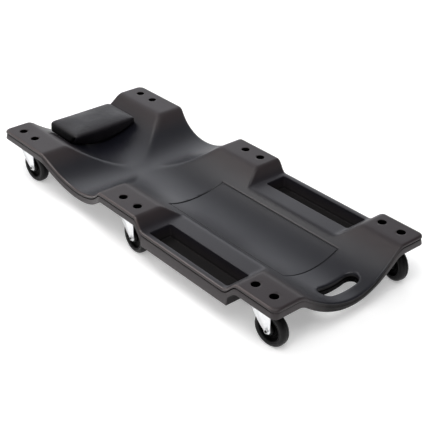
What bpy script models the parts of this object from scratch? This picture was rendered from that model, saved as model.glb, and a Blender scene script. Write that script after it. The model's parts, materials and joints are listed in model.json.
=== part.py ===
"""Mechanic creeper: moulded deck with tool trays, padded headrest and six swivel casters."""
import math

import bmesh
import bpy
from mathutils import Matrix, Vector

# Deck, in metres: +X runs from the head end to the foot end, the floor is z = 0
DECK_LENGTH = 1.032
DECK_WIDTH = 0.435
PAD_THICKNESS = 0.024
BED_THICKNESS = 0.0235
CORNER_RADIUS = 0.013
TOP_CORNER_RADIUS = 0.019
FOOT_BOW = 0.010
FOOT_BOW_UNDERSIDE = 0.004
WAIST_INSET = 0.0135
TROUGH_DEPTH = 0.060

# Casters under the deck, and the flat that each raised pad keeps beyond its caster plate
HEAD_CASTER_INSET = 0.070
FOOT_CASTER_INSET = 0.066
MID_CASTER_OFFSET = -0.008
PAD_SIDE_MARGIN = 0.0095
PAD_TROUGH_MARGIN = 0.019
HEAD_PAD_MARGIN = 0.063
MID_PAD_HEAD_MARGIN = 0.031
MID_PAD_FOOT_MARGIN = 0.0136
FOOT_PAD_MARGIN = 0.001

# Arm scoop between head and mid pads, and the lower shelf that holds the trays
SCOOP_SHOULDER = 0.013
SCOOP_DEPTH = 0.060
SCOOP_SIDE_DEPTH = 0.0465
SHELF_DROP = 0.030
SHELF_HEAD_RAMP = 0.018
SHELF_FOOT_RAMP = 0.030
RIDGE_SOFTNESS = 0.014

# Tool trays, clear of the wheels when these swing round
TRAY_HEAD_CLEARANCE = 0.016
TRAY_FOOT_CLEARANCE = 0.0125
TRAY_END_WALL = 0.0175
TRAY_DRAFT = 0.005
TRAY_RIM = 0.015
TRAY_OPENING_WIDTH = 0.0585
TRAY_SKIRT = 0.009
TRAY_BODY_DEPTH = 0.036
TRAY_FLOOR = 0.004
TRAY_CORNER = 0.004

# Edge band round the deck: inset from the outline and drop below the top, ring by ring
EDGE_ROUND = 0.007
SHOULDER_INSET = 0.0028
SHOULDER_DROP = 0.0014
LIP_INSET = 0.002
LIP_DROP = 0.007
GROOVE_DEPTH = 0.0022
GROOVE_DROP = 0.009
BAND_INSET = 0.001
BAND_DROP = 0.011

# Carry slot at the foot end
SLOT_LENGTH = 0.106
SLOT_WIDTH = 0.036
SLOT_FOOT_INSET = 0.050

# Headrest
CUSHION_LENGTH = 0.125
CUSHION_WIDTH = 0.204
CUSHION_HEAD_INSET = 0.019
CUSHION_TOP_DROP = 0.0045
CUSHION_CORNER = 0.010
CUSHION_ROUND = 0.006
CUSHION_SHOULDER = 0.0018
CUSHION_CROWN = 0.002
CUSHION_TUCK = 0.011
CUSHION_END_LEAN = 0.007
CUSHION_UNDERCUT = 0.012
BOARD_LENGTH = 0.080
BOARD_WIDTH = 0.096
BOARD_THICKNESS = 0.006
BOARD_CORNER = 0.010
HEADREST_SCREW_PITCH = 0.050
HEADREST_SCREW_RADIUS = 0.0025
HEADREST_SCREW_HEAD_RADIUS = 0.005
HEADREST_SCREW_HEAD_HEIGHT = 0.003
HEADREST_SCREW_TIP = 0.0015

# Bolts through the pads, and the wells that their heads sit in
BOLT_RADIUS = 0.003
BOLT_HEAD_RADIUS = 0.0066
BOLT_HEAD_HEIGHT = 0.004
BOLT_TAIL = 0.0004
WELL_CLEARANCE = 0.0034
WELL_DEPTH = 0.014
NUT_RADIUS = 0.0058
NUT_HEIGHT = 0.0044

# Caster wheel
WHEEL_RADIUS = 0.040
WHEEL_WIDTH = 0.023
HUB_PROUD = 0.00075
HUB_RADIUS = 0.011
TYRE_DEPTH = 0.014
WHEEL_WEB = 0.010
DISH_FLARE = 0.002
TREAD_SHOULDER = 0.004
TREAD_ROUND = 0.0045

# Caster plate, swivel and fork
PLATE_WIDTH = 0.048
PLATE_THICKNESS = 0.0025
PLATE_END_MARGIN = 0.012
PLATE_CORNER = 0.007
RACE_RADIUS = 0.0195
RACE_LIP = 0.0027
RACE_NUT_CLEARANCE = 0.0017
NUT_FORK_CLEARANCE = 0.0025
KINGPIN_RADIUS = 0.005
KINGPIN_HEAD_RADIUS = 0.0085
KINGPIN_HEAD_HEIGHT = 0.0022
CASTER_TRAIL = 0.021
WHEEL_TOP_CLEARANCE = 0.0041
FORK_GAUGE = 0.0022
FORK_BACK = 0.019
FORK_EYE_RADIUS = 0.008
FORK_FOLD = 0.003
FORK_SWEEP = 0.020
AXLE_RADIUS = 0.003
AXLE_HEAD_RADIUS = 0.006
AXLE_HEAD_HEIGHT = 0.003
AXLE_NUT_RADIUS = 0.0062
AXLE_NUT_HEIGHT = 0.0038
AXLE_END = 0.0008
HEAD_CHAMFER = 0.0015

# Clearances
SEAT_GAP = 0.0003
BORE_GAP = 0.0004
CUT_OVERRUN = 0.010
WELD = 0.00001

# Facets
ROUND_STEPS = 10
WHEEL_STEPS = 24
FORK_STEPS = 5

# How far each fork is turned at rest, in degrees, left and right seen from the foot end
REST_YAW = {
    "head_left": 5, "head_right": 2,
    "mid_left": -2, "mid_right": 3,
    "foot_left": 6, "foot_right": -11,
}

# Heights in the caster, from the floor up to the deck that it carries
RACE_HEIGHT = NUT_HEIGHT + NUT_FORK_CLEARANCE - 2 * SEAT_GAP
FORK_WEB_BOTTOM = 2 * WHEEL_RADIUS + WHEEL_TOP_CLEARANCE
FORK_TOP = FORK_WEB_BOTTOM + FORK_GAUGE
RACE_BOTTOM = FORK_TOP + SEAT_GAP
RACE_TOP = RACE_BOTTOM + RACE_HEIGHT
PLATE_BOTTOM = RACE_TOP + SEAT_GAP
PLATE_TOP = PLATE_BOTTOM + PLATE_THICKNESS
NUT_BOTTOM = PLATE_BOTTOM - NUT_HEIGHT
PAD_UNDERSIDE = PLATE_TOP + SEAT_GAP
PAD_TOP_HEIGHT = PAD_UNDERSIDE + PAD_THICKNESS
BOLT_SEAT = PAD_TOP_HEIGHT - WELL_DEPTH

# Widths and radii in the caster
BOLT_PITCH = 2 * (RACE_RADIUS + NUT_RADIUS + RACE_NUT_CLEARANCE)
PLATE_LENGTH = BOLT_PITCH + 2 * PLATE_END_MARGIN
WELL_RADIUS = BOLT_HEAD_RADIUS + WELL_CLEARANCE
HUB_LENGTH = WHEEL_WIDTH + 2 * HUB_PROUD
FORK_INNER_Y = HUB_LENGTH / 2 + SEAT_GAP
FORK_OUTER_Y = FORK_INNER_Y + FORK_GAUGE
AXLE_BORE_RADIUS = AXLE_RADIUS + BORE_GAP
WHEEL_SWING = CASTER_TRAIL + WHEEL_RADIUS

# Places on the deck
HEAD_EDGE = -DECK_LENGTH / 2
FOOT_EDGE = DECK_LENGTH / 2 - FOOT_BOW + BAND_INSET
HALF_WIDTH = DECK_WIDTH / 2
CASTER_X = {
    "head": HEAD_EDGE + HEAD_CASTER_INSET,
    "mid": MID_CASTER_OFFSET,
    "foot": FOOT_EDGE - FOOT_CASTER_INSET,
}
CASTER_SIDE = HALF_WIDTH - PLATE_WIDTH / 2 - PAD_SIDE_MARGIN
CASTER_Y = {"left": -CASTER_SIDE, "right": CASTER_SIDE}
TROUGH_HALF = CASTER_SIDE - PLATE_WIDTH / 2 - PAD_TROUGH_MARGIN
HEAD_PAD_END = CASTER_X["head"] + PLATE_LENGTH / 2 + HEAD_PAD_MARGIN
MID_PAD_START = CASTER_X["mid"] - PLATE_LENGTH / 2 - MID_PAD_HEAD_MARGIN
SHELF_HEAD_SLOPE = SHELF_DROP / SHELF_HEAD_RAMP
SHELF_FOOT_SLOPE = SHELF_DROP / SHELF_FOOT_RAMP
MID_PAD_END = CASTER_X["mid"] + PLATE_LENGTH / 2 + MID_PAD_FOOT_MARGIN + RIDGE_SOFTNESS / SHELF_HEAD_SLOPE
FOOT_PAD_START = CASTER_X["foot"] - PLATE_LENGTH / 2 - FOOT_PAD_MARGIN - RIDGE_SOFTNESS / SHELF_FOOT_SLOPE
TRAY_START = CASTER_X["mid"] + WHEEL_SWING + TRAY_HEAD_CLEARANCE
TRAY_END = CASTER_X["foot"] - WHEEL_SWING - TRAY_FOOT_CLEARANCE
TRAY_OUTER_Y = HALF_WIDTH - TRAY_RIM
TRAY_INNER_Y = TRAY_OUTER_Y - TRAY_OPENING_WIDTH
TRAY_SKIRT_Y = TRAY_INNER_Y - TRAY_SKIRT
TRAY_UNDERSIDE = PAD_TOP_HEIGHT - SHELF_DROP - TRAY_BODY_DEPTH
CUSHION_X = HEAD_EDGE + CUSHION_HEAD_INSET + CUSHION_LENGTH / 2
CUSHION_TOP = PAD_TOP_HEIGHT - CUSHION_TOP_DROP
SLOT_X = DECK_LENGTH / 2 - SLOT_FOOT_INSET


def clear_scene():
    for item in list(bpy.data.objects):
        bpy.data.objects.remove(item, do_unlink=True)


def new_collection(name):
    collection = bpy.data.collections.new(name)
    bpy.context.scene.collection.children.link(collection)
    return collection


def material(name, color, roughness, metallic=0.0):
    made = bpy.data.materials.new(name)
    made.use_nodes = True
    shader = made.node_tree.nodes["Principled BSDF"]
    shader.inputs["Base Color"].default_value = (*color, 1)
    shader.inputs["Roughness"].default_value = roughness
    shader.inputs["Metallic"].default_value = metallic
    return made


def soft_min(a, b, softness):
    share = min(1, max(0, 0.5 + 0.5 * (b - a) / softness))
    return b + (a - b) * share - softness * share * (1 - share)


def soft_max(a, b, softness):
    return -soft_min(-a, -b, softness)


# Height of the top surface above the floor
def scoop_profile(x):
    chord = MID_PAD_START - HEAD_PAD_END - 2 * SCOOP_SHOULDER
    radius = (chord * chord / 4 + SCOOP_DEPTH ** 2) / (2 * SCOOP_DEPTH)
    away = x - (HEAD_PAD_END + MID_PAD_START) / 2
    return radius - SCOOP_DEPTH - math.sqrt(max(0, radius ** 2 - away ** 2))


def scoop_height(x, y):
    # Deepest where the two arm scoops meet in the middle of the bed
    rise = 1 - SCOOP_SIDE_DEPTH / SCOOP_DEPTH
    return scoop_profile(x) * (1 - rise * (y / HALF_WIDTH) ** 2)


def shelf_profile(x):
    head_ramp = (MID_PAD_END - x) * SHELF_HEAD_SLOPE
    foot_ramp = (x - FOOT_PAD_START) * SHELF_FOOT_SLOPE
    ramps = max(head_ramp, foot_ramp)
    return soft_max(-SHELF_DROP, ramps, RIDGE_SOFTNESS)


def trough_profile(y):
    return -TROUGH_DEPTH * (1 - (y / TROUGH_HALF) ** 2)


def top_height(x, y):
    lengthwise = min(scoop_height(x, y), shelf_profile(x))
    lowest = soft_min(lengthwise, trough_profile(y), RIDGE_SOFTNESS)
    return PAD_TOP_HEIGHT + soft_min(lowest, 0, RIDGE_SOFTNESS)


def thickness(x, y):
    # The deck thins a little from the pads towards the bottom of the bed
    depth = PAD_TOP_HEIGHT - top_height(x, y)
    return PAD_THICKNESS + (BED_THICKNESS - PAD_THICKNESS) * depth / TROUGH_DEPTH


def underside_height(x, y):
    plain = top_height(x, y) - thickness(x, y)
    in_tray = TRAY_START < x < TRAY_END and abs(y) >= TRAY_SKIRT_Y - SEAT_GAP
    return min(plain, TRAY_UNDERSIDE) if in_tray else plain


# Outline of the deck seen from above
def half_width(x):
    return HALF_WIDTH - WAIST_INSET * min(1, max(0, -scoop_profile(x) / SCOOP_DEPTH))


def corner_radius(inset):
    return CORNER_RADIUS + (TOP_CORNER_RADIUS - CORNER_RADIUS) * inset / EDGE_ROUND


def corner_drop(y, inset):
    radius = corner_radius(inset)
    past = min(radius, max(0, abs(y) - (HALF_WIDTH - inset - radius)))
    return radius - math.sqrt(radius ** 2 - past ** 2)


def head_outline(y, inset):
    return HEAD_EDGE + inset + corner_drop(y, inset)


def foot_outline(y, inset):
    # The top edge bows out more than the foot of the band
    bow = FOOT_BOW if inset else FOOT_BOW_UNDERSIDE
    return FOOT_EDGE + bow * max(0, 1 - (y / TROUGH_HALF) ** 2) ** 2 - inset - corner_drop(y, inset)


def spread(spans):
    stations = [spans[0][0]]
    for start, end, count in spans:
        stations += [start + (end - start) * step / count for step in range(1, count + 1)]
    return stations


END_ZONE = TOP_CORNER_RADIUS + 2 * EDGE_ROUND
END_STEPS = (1, 0.7, 0.35)
CORNER_TURNS = tuple(math.sin(math.radians(angle)) for angle in (30, 60, 90))


def deck_stations():
    scoop_start = HEAD_PAD_END - RIDGE_SOFTNESS
    scoop_end = MID_PAD_START + RIDGE_SOFTNESS
    ramp_start = MID_PAD_END - RIDGE_SOFTNESS
    ramp_end = FOOT_PAD_START + RIDGE_SOFTNESS
    return spread([
        (HEAD_EDGE + END_ZONE, scoop_start, 2),
        (scoop_start, scoop_end, 14),
        (scoop_end, ramp_start, 2),
        (ramp_start, TRAY_START, 3),
        (TRAY_START, TRAY_START + TRAY_DRAFT, 1),
        (TRAY_START + TRAY_DRAFT, TRAY_END - TRAY_DRAFT, 6),
        (TRAY_END - TRAY_DRAFT, TRAY_END, 1),
        (TRAY_END, ramp_end, 4),
        (ramp_end, FOOT_EDGE - END_ZONE, 2),
    ])


def deck_columns():
    shoulder = TRAY_SKIRT_Y - TRAY_SKIRT
    return spread([(0, shoulder, 5), (shoulder, TRAY_SKIRT_Y, 1),
                   (TRAY_SKIRT_Y, max(TRAY_SKIRT_Y, TROUGH_HALF) + RIDGE_SOFTNESS, 2)])


def bed_under_cushion(y):
    # The bed is made of flat strips between columns, and the headrest lies on those strips
    columns = deck_columns()
    for inner, outer in zip(columns, columns[1:]):
        if abs(y) <= outer:
            break
    share = (abs(y) - inner) / (outer - inner)
    inner_height = top_height(CUSHION_X, inner)
    return inner_height + (top_height(CUSHION_X, outer) - inner_height) * share


def sheet(mesh, rows, columns, place):
    verts = bmesh.ops.create_grid(mesh, x_segments=rows - 1, y_segments=columns - 1, size=1)["verts"]
    row_key = mesh.verts.layers.int["row"]
    column_key = mesh.verts.layers.int["column"]
    for vert in verts:
        vert[row_key] = round((vert.co.x + 1) / 2 * (rows - 1))
        vert[column_key] = round((vert.co.y + 1) / 2 * (columns - 1))
        vert.co = place(vert[row_key], vert[column_key])
    return verts


def slab(name, rows, columns, rings, place):
    # Two sheets, top and bottom, with the rim of the top one drawn down ring by ring to meet the other
    mesh = bmesh.new()
    row_key = mesh.verts.layers.int.new("row")
    column_key = mesh.verts.layers.int.new("column")
    sheet(mesh, rows, columns, lambda row, column: place(row, column, 0))
    rim = [edge for edge in mesh.edges if edge.is_boundary]
    for ring in range(1, rings):
        drawn = bmesh.ops.extrude_edge_only(mesh, edges=rim)["geom"]
        rim = [item for item in drawn if isinstance(item, bmesh.types.BMEdge)]
        for vert in {vert for edge in rim for vert in edge.verts}:
            vert.co = place(vert[row_key], vert[column_key], ring)
    sheet(mesh, rows, columns, lambda row, column: place(row, column, rings - 1))
    bmesh.ops.remove_doubles(mesh, verts=mesh.verts, dist=WELD)
    bmesh.ops.recalc_face_normals(mesh, faces=mesh.faces)
    data = bpy.data.meshes.new(name)
    mesh.to_mesh(data)
    mesh.free()
    return data


def deck_mesh():
    stations = deck_stations()
    columns = deck_columns()
    half_columns = len(columns) + 1 + len(CORNER_TURNS)
    rows = len(stations) + 2 * len(END_STEPS)
    insets = (EDGE_ROUND, SHOULDER_INSET, LIP_INSET, LIP_INSET + GROOVE_DEPTH, BAND_INSET, 0)
    drops = (0, SHOULDER_DROP, LIP_DROP, GROOVE_DROP, BAND_DROP, None)

    def across(column, x, inset):
        side = abs(column - (half_columns - 1))
        if side < len(columns):
            y = columns[side]
        else:
            radius = corner_radius(inset)
            turn = (0, *CORNER_TURNS)[side - len(columns)]
            y = half_width(x) - inset - radius * (1 - turn)
        return math.copysign(y, column - (half_columns - 1))

    def plan(row, column, inset):
        at_head = len(END_STEPS) - row
        at_foot = row - (rows - 1 - len(END_STEPS))
        if at_head > 0:
            y = across(column, stations[0], inset)
            reach = END_STEPS[len(END_STEPS) - at_head]
            return stations[0] + (head_outline(y, inset) - stations[0]) * reach, y
        if at_foot > 0:
            y = across(column, stations[-1], inset)
            reach = END_STEPS[len(END_STEPS) - at_foot]
            return stations[-1] + (foot_outline(y, inset) - stations[-1]) * reach, y
        x = stations[row - len(END_STEPS)]
        return x, across(column, x, inset)

    def place(row, column, ring):
        x, y = plan(row, column, insets[0])
        if drops[ring] is None:
            height = underside_height(x, y)
        else:
            height = top_height(x, y) - drops[ring] * thickness(x, y) / PAD_THICKNESS
        on_rim = row in (0, rows - 1) or column in (0, 2 * half_columns - 2)
        return Vector((*plan(row, column, insets[ring] if on_rim else insets[0]), height))

    return slab("deck", rows, 2 * half_columns - 1, len(drops), place)


def mesh_object(name, data, look, collection, location=(0, 0, 0), parent=None):
    made = bpy.data.objects.new(name, data)
    collection.objects.link(made)
    made.location = location
    made.parent = parent
    if look and not data.materials:
        data.materials.append(look)
    return made


def shade(data, angle=math.radians(35)):
    data.shade_smooth()
    data.set_sharp_from_angle(angle=angle)


def cutter(name, data):
    made = mesh_object(name, data, None, cutters)
    made.hide_render = True
    made.display_type = "WIRE"
    return made


def cut(target, tool, operation="DIFFERENCE"):
    step = target.modifiers.new(operation.lower(), "BOOLEAN")
    step.operation = operation
    step.solver = "EXACT"
    step.object = tool


def baked(made):
    # The object's mesh with its modifiers applied, and the object itself removed
    graph = bpy.context.evaluated_depsgraph_get()
    data = bpy.data.meshes.new_from_object(made.evaluated_get(graph))
    name = made.name
    bpy.data.objects.remove(made, do_unlink=True)
    data.name = name
    return data


def turned(name, profile, steps=ROUND_STEPS, axis="Z"):
    # A profile of radius and height, run down its outer side, turned about the axis
    data = bpy.data.meshes.new(name)
    links = [(index, index + 1) for index in range(len(profile) - 1)]
    data.from_pydata([(radius, 0, height) for radius, height in profile], links, [])
    made = mesh_object(name, data, None, cutters)
    turn = made.modifiers.new("turn", "SCREW")
    turn.steps = turn.render_steps = steps
    turn.use_merge_vertices = True
    turn.merge_threshold = WELD
    data = baked(made)
    if axis == "Y":
        data.transform(Matrix.Rotation(-math.pi / 2, 4, "X"))
    return data


def stadium(length, width, radius, corner_steps=4):
    # Rounded rectangle centred on the origin
    points = []
    for quarter in range(4):
        sign_x = 1 if quarter in (0, 3) else -1
        sign_y = 1 if quarter < 2 else -1
        for step in range(corner_steps + 1):
            angle = (quarter + step / corner_steps) * math.pi / 2
            points.append((sign_x * (length / 2 - radius) + radius * math.cos(angle),
                           sign_y * (width / 2 - radius) + radius * math.sin(angle)))
    return points


def flat(name, outline, low, high):
    # A flat outline given thickness from low to high
    curve = bpy.data.curves.new(name, "CURVE")
    curve.dimensions = "2D"
    curve.fill_mode = "BOTH"
    curve.extrude = (high - low) / 2
    spline = curve.splines.new("POLY")
    spline.points.add(len(outline) - 1)
    for point, (x, y) in zip(spline.points, outline):
        point.co = (x, y, 0, 1)
    spline.use_cyclic_u = True
    made = bpy.data.objects.new(name, curve)
    cutters.objects.link(made)
    data = baked(made)
    mesh = bmesh.new()
    mesh.from_mesh(data)
    bmesh.ops.remove_doubles(mesh, verts=mesh.verts, dist=WELD)
    bmesh.ops.recalc_face_normals(mesh, faces=mesh.faces)
    bmesh.ops.translate(mesh, verts=mesh.verts, vec=(0, 0, (low + high) / 2))
    mesh.to_mesh(data)
    mesh.free()
    return data


def rod(name, radius, low, high, steps=ROUND_STEPS, axis="Z"):
    mesh = bmesh.new()
    depth = high - low
    bmesh.ops.create_cone(mesh, cap_ends=True, segments=steps, radius1=radius, radius2=radius, depth=depth)
    bmesh.ops.translate(mesh, verts=mesh.verts, vec=(0, 0, (low + high) / 2))
    data = bpy.data.meshes.new(name)
    mesh.to_mesh(data)
    mesh.free()
    if axis == "Y":
        data.transform(Matrix.Rotation(-math.pi / 2, 4, "X"))
    return data


def copies(name, data, places):
    # One cutter mesh with a copy of the shape at every place
    mesh = bmesh.new()
    for place in places:
        moved = data.copy()
        moved.transform(Matrix.Translation(place))
        mesh.from_mesh(moved)
        bpy.data.meshes.remove(moved)
    joined = bpy.data.meshes.new(name)
    mesh.to_mesh(joined)
    mesh.free()
    return joined


def caster_places():
    return [(f"{end}_{side}", CASTER_X[end], CASTER_Y[side]) for end in CASTER_X for side in CASTER_Y]


def bolt_places():
    return [(x + sign * BOLT_PITCH / 2, y, 0) for _, x, y in caster_places() for sign in (-1, 1)]


def headrest_screw_places():
    return [(CUSHION_X + sign * HEADREST_SCREW_PITCH / 2, 0, 0) for sign in (-1, 1)]


def make_deck(look):
    deck = mesh_object("deck", deck_mesh(), look, parts)
    tray_low = TRAY_UNDERSIDE + TRAY_FLOOR
    tray_outline = stadium(TRAY_END - TRAY_START - 2 * TRAY_END_WALL, TRAY_OPENING_WIDTH, TRAY_CORNER, 2)
    tray = flat("tray", tray_outline, tray_low, PAD_TOP_HEIGHT + CUT_OVERRUN)
    tray_x = (TRAY_START + TRAY_END) / 2
    tray_y = (TRAY_INNER_Y + TRAY_OUTER_Y) / 2
    tray_places = [(tray_x, -tray_y, 0), (tray_x, tray_y, 0)]
    cut(deck, cutter("tray_pockets", copies("tray_pockets", tray, tray_places)))

    slot_outline = stadium(SLOT_WIDTH, SLOT_LENGTH, SLOT_WIDTH / 2 - SEAT_GAP)
    slot = flat("carry_slot", slot_outline, 0, PAD_TOP_HEIGHT)
    slot.transform(Matrix.Translation((SLOT_X, 0, 0)))
    cut(deck, cutter("carry_slot", slot))

    well = turned("well", [
        (0, PAD_TOP_HEIGHT + CUT_OVERRUN),
        (WELL_RADIUS, PAD_TOP_HEIGHT + CUT_OVERRUN),
        (WELL_RADIUS, BOLT_SEAT),
        (BOLT_RADIUS + BORE_GAP, BOLT_SEAT),
        (BOLT_RADIUS + BORE_GAP, PAD_UNDERSIDE - CUT_OVERRUN),
        (0, PAD_UNDERSIDE - CUT_OVERRUN),
    ])
    cut(deck, cutter("bolt_wells", copies("bolt_wells", well, bolt_places())))

    screw_hole = rod("screw_hole", HEADREST_SCREW_RADIUS + BORE_GAP, 0, PAD_TOP_HEIGHT)
    cut(deck, cutter("screw_holes", copies("screw_holes", screw_hole, headrest_screw_places())))
    shade(deck.data)


def rounded_corner(x, y, half_x, half_y, radius):
    # Folds the square corner of a grid onto a quarter circle
    past_x = abs(x) - (half_x - radius)
    past_y = abs(y) - (half_y - radius)
    if past_x <= 0 or past_y <= 0:
        return x, y
    reach = max(past_x, past_y)
    if past_x >= past_y:
        angle = math.pi / 4 * past_y / past_x
    else:
        angle = math.pi / 2 - math.pi / 4 * past_x / past_y
    return (math.copysign(half_x - radius + reach * math.cos(angle), x),
            math.copysign(half_y - radius + reach * math.sin(angle), y))


def cushion_stations(half):
    flat_half = half - CUSHION_CORNER
    corner = [flat_half + CUSHION_CORNER * step / 2 for step in (1, 2)]
    inner = [flat_half * step / 3 for step in (1, 2, 3)]
    outward = inner + corner
    return [-station for station in reversed(outward)] + [0] + outward


def cushion_mesh():
    half_x = CUSHION_LENGTH / 2
    half_y = CUSHION_WIDTH / 2
    rows = cushion_stations(half_x)
    columns = cushion_stations(half_y)
    # Ring by ring from the top: the long sides tuck in below, the short ends lean out to rest on the trough
    side_insets = (CUSHION_ROUND, CUSHION_SHOULDER, 0, CUSHION_TUCK / 2, CUSHION_TUCK)
    end_insets = (CUSHION_END_LEAN + CUSHION_ROUND, CUSHION_END_LEAN + CUSHION_SHOULDER, CUSHION_END_LEAN,
                  CUSHION_END_LEAN / 2, 0)

    def place(row, column, ring):
        u = rows[row] / half_x
        v = columns[column] / half_y
        on_rim = row in (0, len(rows) - 1) or column in (0, len(columns) - 1)
        reach_x = half_x - side_insets[ring]
        reach_y = half_y - end_insets[ring]
        if ring > 0 and not on_rim:
            reach_x -= CUSHION_ROUND
            reach_y -= CUSHION_ROUND
        x, y = rounded_corner(u * reach_x, v * reach_y, reach_x, reach_y, CUSHION_CORNER - CUSHION_ROUND / 2)
        top = CUSHION_TOP - CUSHION_CROWN + CUSHION_CROWN * (1 - u * u) * (1 - v * v)
        floor = bed_under_cushion(y) + SEAT_GAP
        if on_rim:
            floor += CUSHION_UNDERCUT * (1 - v * v)
        heights = (top, top - CUSHION_SHOULDER, top - CUSHION_ROUND, (top - CUSHION_ROUND + floor) / 2, floor)
        return Vector((CUSHION_X + x, y, heights[ring]))

    return slab("headrest_cushion", len(rows), len(columns), len(side_insets), place)


def make_headrest(vinyl, wood, steel):
    cushion = mesh_object("headrest_cushion", cushion_mesh(), vinyl, parts)
    board_low = bed_under_cushion(BOARD_WIDTH / 2) + SEAT_GAP
    board_high = board_low + BOARD_THICKNESS
    recess_outline = stadium(BOARD_LENGTH + 2 * SEAT_GAP, BOARD_WIDTH + 2 * SEAT_GAP,
                             BOARD_CORNER + SEAT_GAP, 2)
    recess = flat("board_recess", recess_outline, 0, board_high + SEAT_GAP)
    recess.transform(Matrix.Translation((CUSHION_X, 0, 0)))
    cut(cushion, cutter("board_recess", recess))
    shade(cushion.data)

    board = flat("headrest_board", stadium(BOARD_LENGTH, BOARD_WIDTH, BOARD_CORNER, 2), board_low, board_high)
    board.transform(Matrix.Translation((CUSHION_X, 0, 0)))
    board = mesh_object("headrest_board", board, wood, parts)
    screw_hole = rod("board_hole", HEADREST_SCREW_RADIUS + BORE_GAP, 0, PAD_TOP_HEIGHT)
    cut(board, cutter("board_holes", copies("board_holes", screw_hole, headrest_screw_places())))

    seat = underside_height(CUSHION_X, 0) - SEAT_GAP
    screw = turned("headrest_screw", [
        (0, board_high - HEADREST_SCREW_TIP),
        (HEADREST_SCREW_RADIUS, board_high - HEADREST_SCREW_TIP),
        (HEADREST_SCREW_RADIUS, seat),
        (HEADREST_SCREW_HEAD_RADIUS, seat),
        (HEADREST_SCREW_HEAD_RADIUS - HEAD_CHAMFER, seat - HEADREST_SCREW_HEAD_HEIGHT),
        (0, seat - HEADREST_SCREW_HEAD_HEIGHT),
    ])
    shade(screw)
    for number, place in enumerate(headrest_screw_places(), 1):
        mesh_object(f"headrest_screw_{number}", screw, steel, parts, place)


def wheel_mesh():
    # Flats of the tread touch the floor, so the corners stand a little further out
    reach = 1 / math.cos(math.pi / WHEEL_STEPS)
    half = WHEEL_WIDTH / 2
    hub = HUB_LENGTH / 2
    rim = WHEEL_RADIUS - TYRE_DEPTH
    web = WHEEL_WEB / 2
    outer = [
        (AXLE_BORE_RADIUS, hub),
        (HUB_RADIUS, hub),
        (HUB_RADIUS + DISH_FLARE, web),
        (rim, web),
        (rim + DISH_FLARE, half),
        ((WHEEL_RADIUS - TREAD_ROUND) * reach, half),
        (WHEEL_RADIUS * reach, half - TREAD_SHOULDER),
    ]
    inner = [(radius, -height) for radius, height in reversed(outer)]
    data = turned("wheel", outer + inner + outer[:1], WHEEL_STEPS, "Y")
    data.transform(Matrix.Rotation(math.pi / WHEEL_STEPS, 4, "Y"))
    mesh = bmesh.new()
    mesh.from_mesh(data)
    bmesh.ops.remove_doubles(mesh, verts=mesh.verts, dist=WELD)
    bmesh.ops.recalc_face_normals(mesh, faces=mesh.faces)
    mesh.to_mesh(data)
    mesh.free()
    shade(data)
    return data


def fork_outline():
    # Side view of the yoke: swept back edge down to a round eye at the axle, straight front edge
    eye = Vector((CASTER_TRAIL, WHEEL_RADIUS))
    back_top = Vector((-FORK_BACK, FORK_TOP))
    bend = Vector((-FORK_BACK, FORK_TOP - FORK_SWEEP))
    eye_turn = math.radians(215)
    eye_back = eye + FORK_EYE_RADIUS * Vector((math.cos(eye_turn), math.sin(eye_turn)))
    points = [Vector((CASTER_TRAIL + FORK_EYE_RADIUS, FORK_TOP)), back_top]
    for step in range(1, FORK_STEPS):
        t = step / FORK_STEPS
        points.append(back_top * (1 - t) ** 2 + bend * 2 * t * (1 - t) + eye_back * t * t)
    for step in range(FORK_STEPS):
        angle = eye_turn + (2 * math.pi - eye_turn) * step / (FORK_STEPS - 1)
        points.append(eye + FORK_EYE_RADIUS * Vector((math.cos(angle), math.sin(angle))))
    return [tuple(point) for point in points]


def fork_mesh(look):
    body = flat("fork", fork_outline(), -FORK_OUTER_Y, FORK_OUTER_Y)
    body.transform(Matrix.Rotation(math.pi / 2, 4, "X"))
    fork = mesh_object("fork", body, look, cutters)
    fold_weights = body.attributes.new("bevel_weight_edge", "FLOAT", "EDGE")
    for edge in body.edges:
        ends = [body.vertices[index].co for index in edge.vertices]
        on_top = all(abs(end.z - FORK_TOP) < SEAT_GAP for end in ends)
        if on_top and abs(ends[0].y - ends[1].y) < SEAT_GAP:
            fold_weights.data[edge.index].value = 1
    fold = fork.modifiers.new("fold", "BEVEL")
    fold.limit_method = "WEIGHT"
    fold.width = FORK_FOLD
    fold.segments = 2

    reach = FORK_BACK + CASTER_TRAIL + WHEEL_RADIUS
    gap = flat("wheel_gap", stadium(2 * reach, 2 * FORK_INNER_Y, SEAT_GAP, 1), -CUT_OVERRUN, FORK_WEB_BOTTOM)
    gap = cutter("wheel_gap", gap)
    bore_radius = KINGPIN_RADIUS + BORE_GAP
    bore = cutter("kingpin_bore", rod("kingpin_bore", bore_radius, 0, PAD_TOP_HEIGHT))
    past_legs = FORK_OUTER_Y + CUT_OVERRUN
    axle = rod("axle_bore", AXLE_BORE_RADIUS, -past_legs, past_legs, axis="Y")
    axle.transform(Matrix.Translation((CASTER_TRAIL, 0, WHEEL_RADIUS)))
    axle = cutter("axle_bore", axle)
    for tool in (gap, bore, axle):
        cut(fork, tool)
    data = baked(fork)
    shade(data)
    return data


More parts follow.
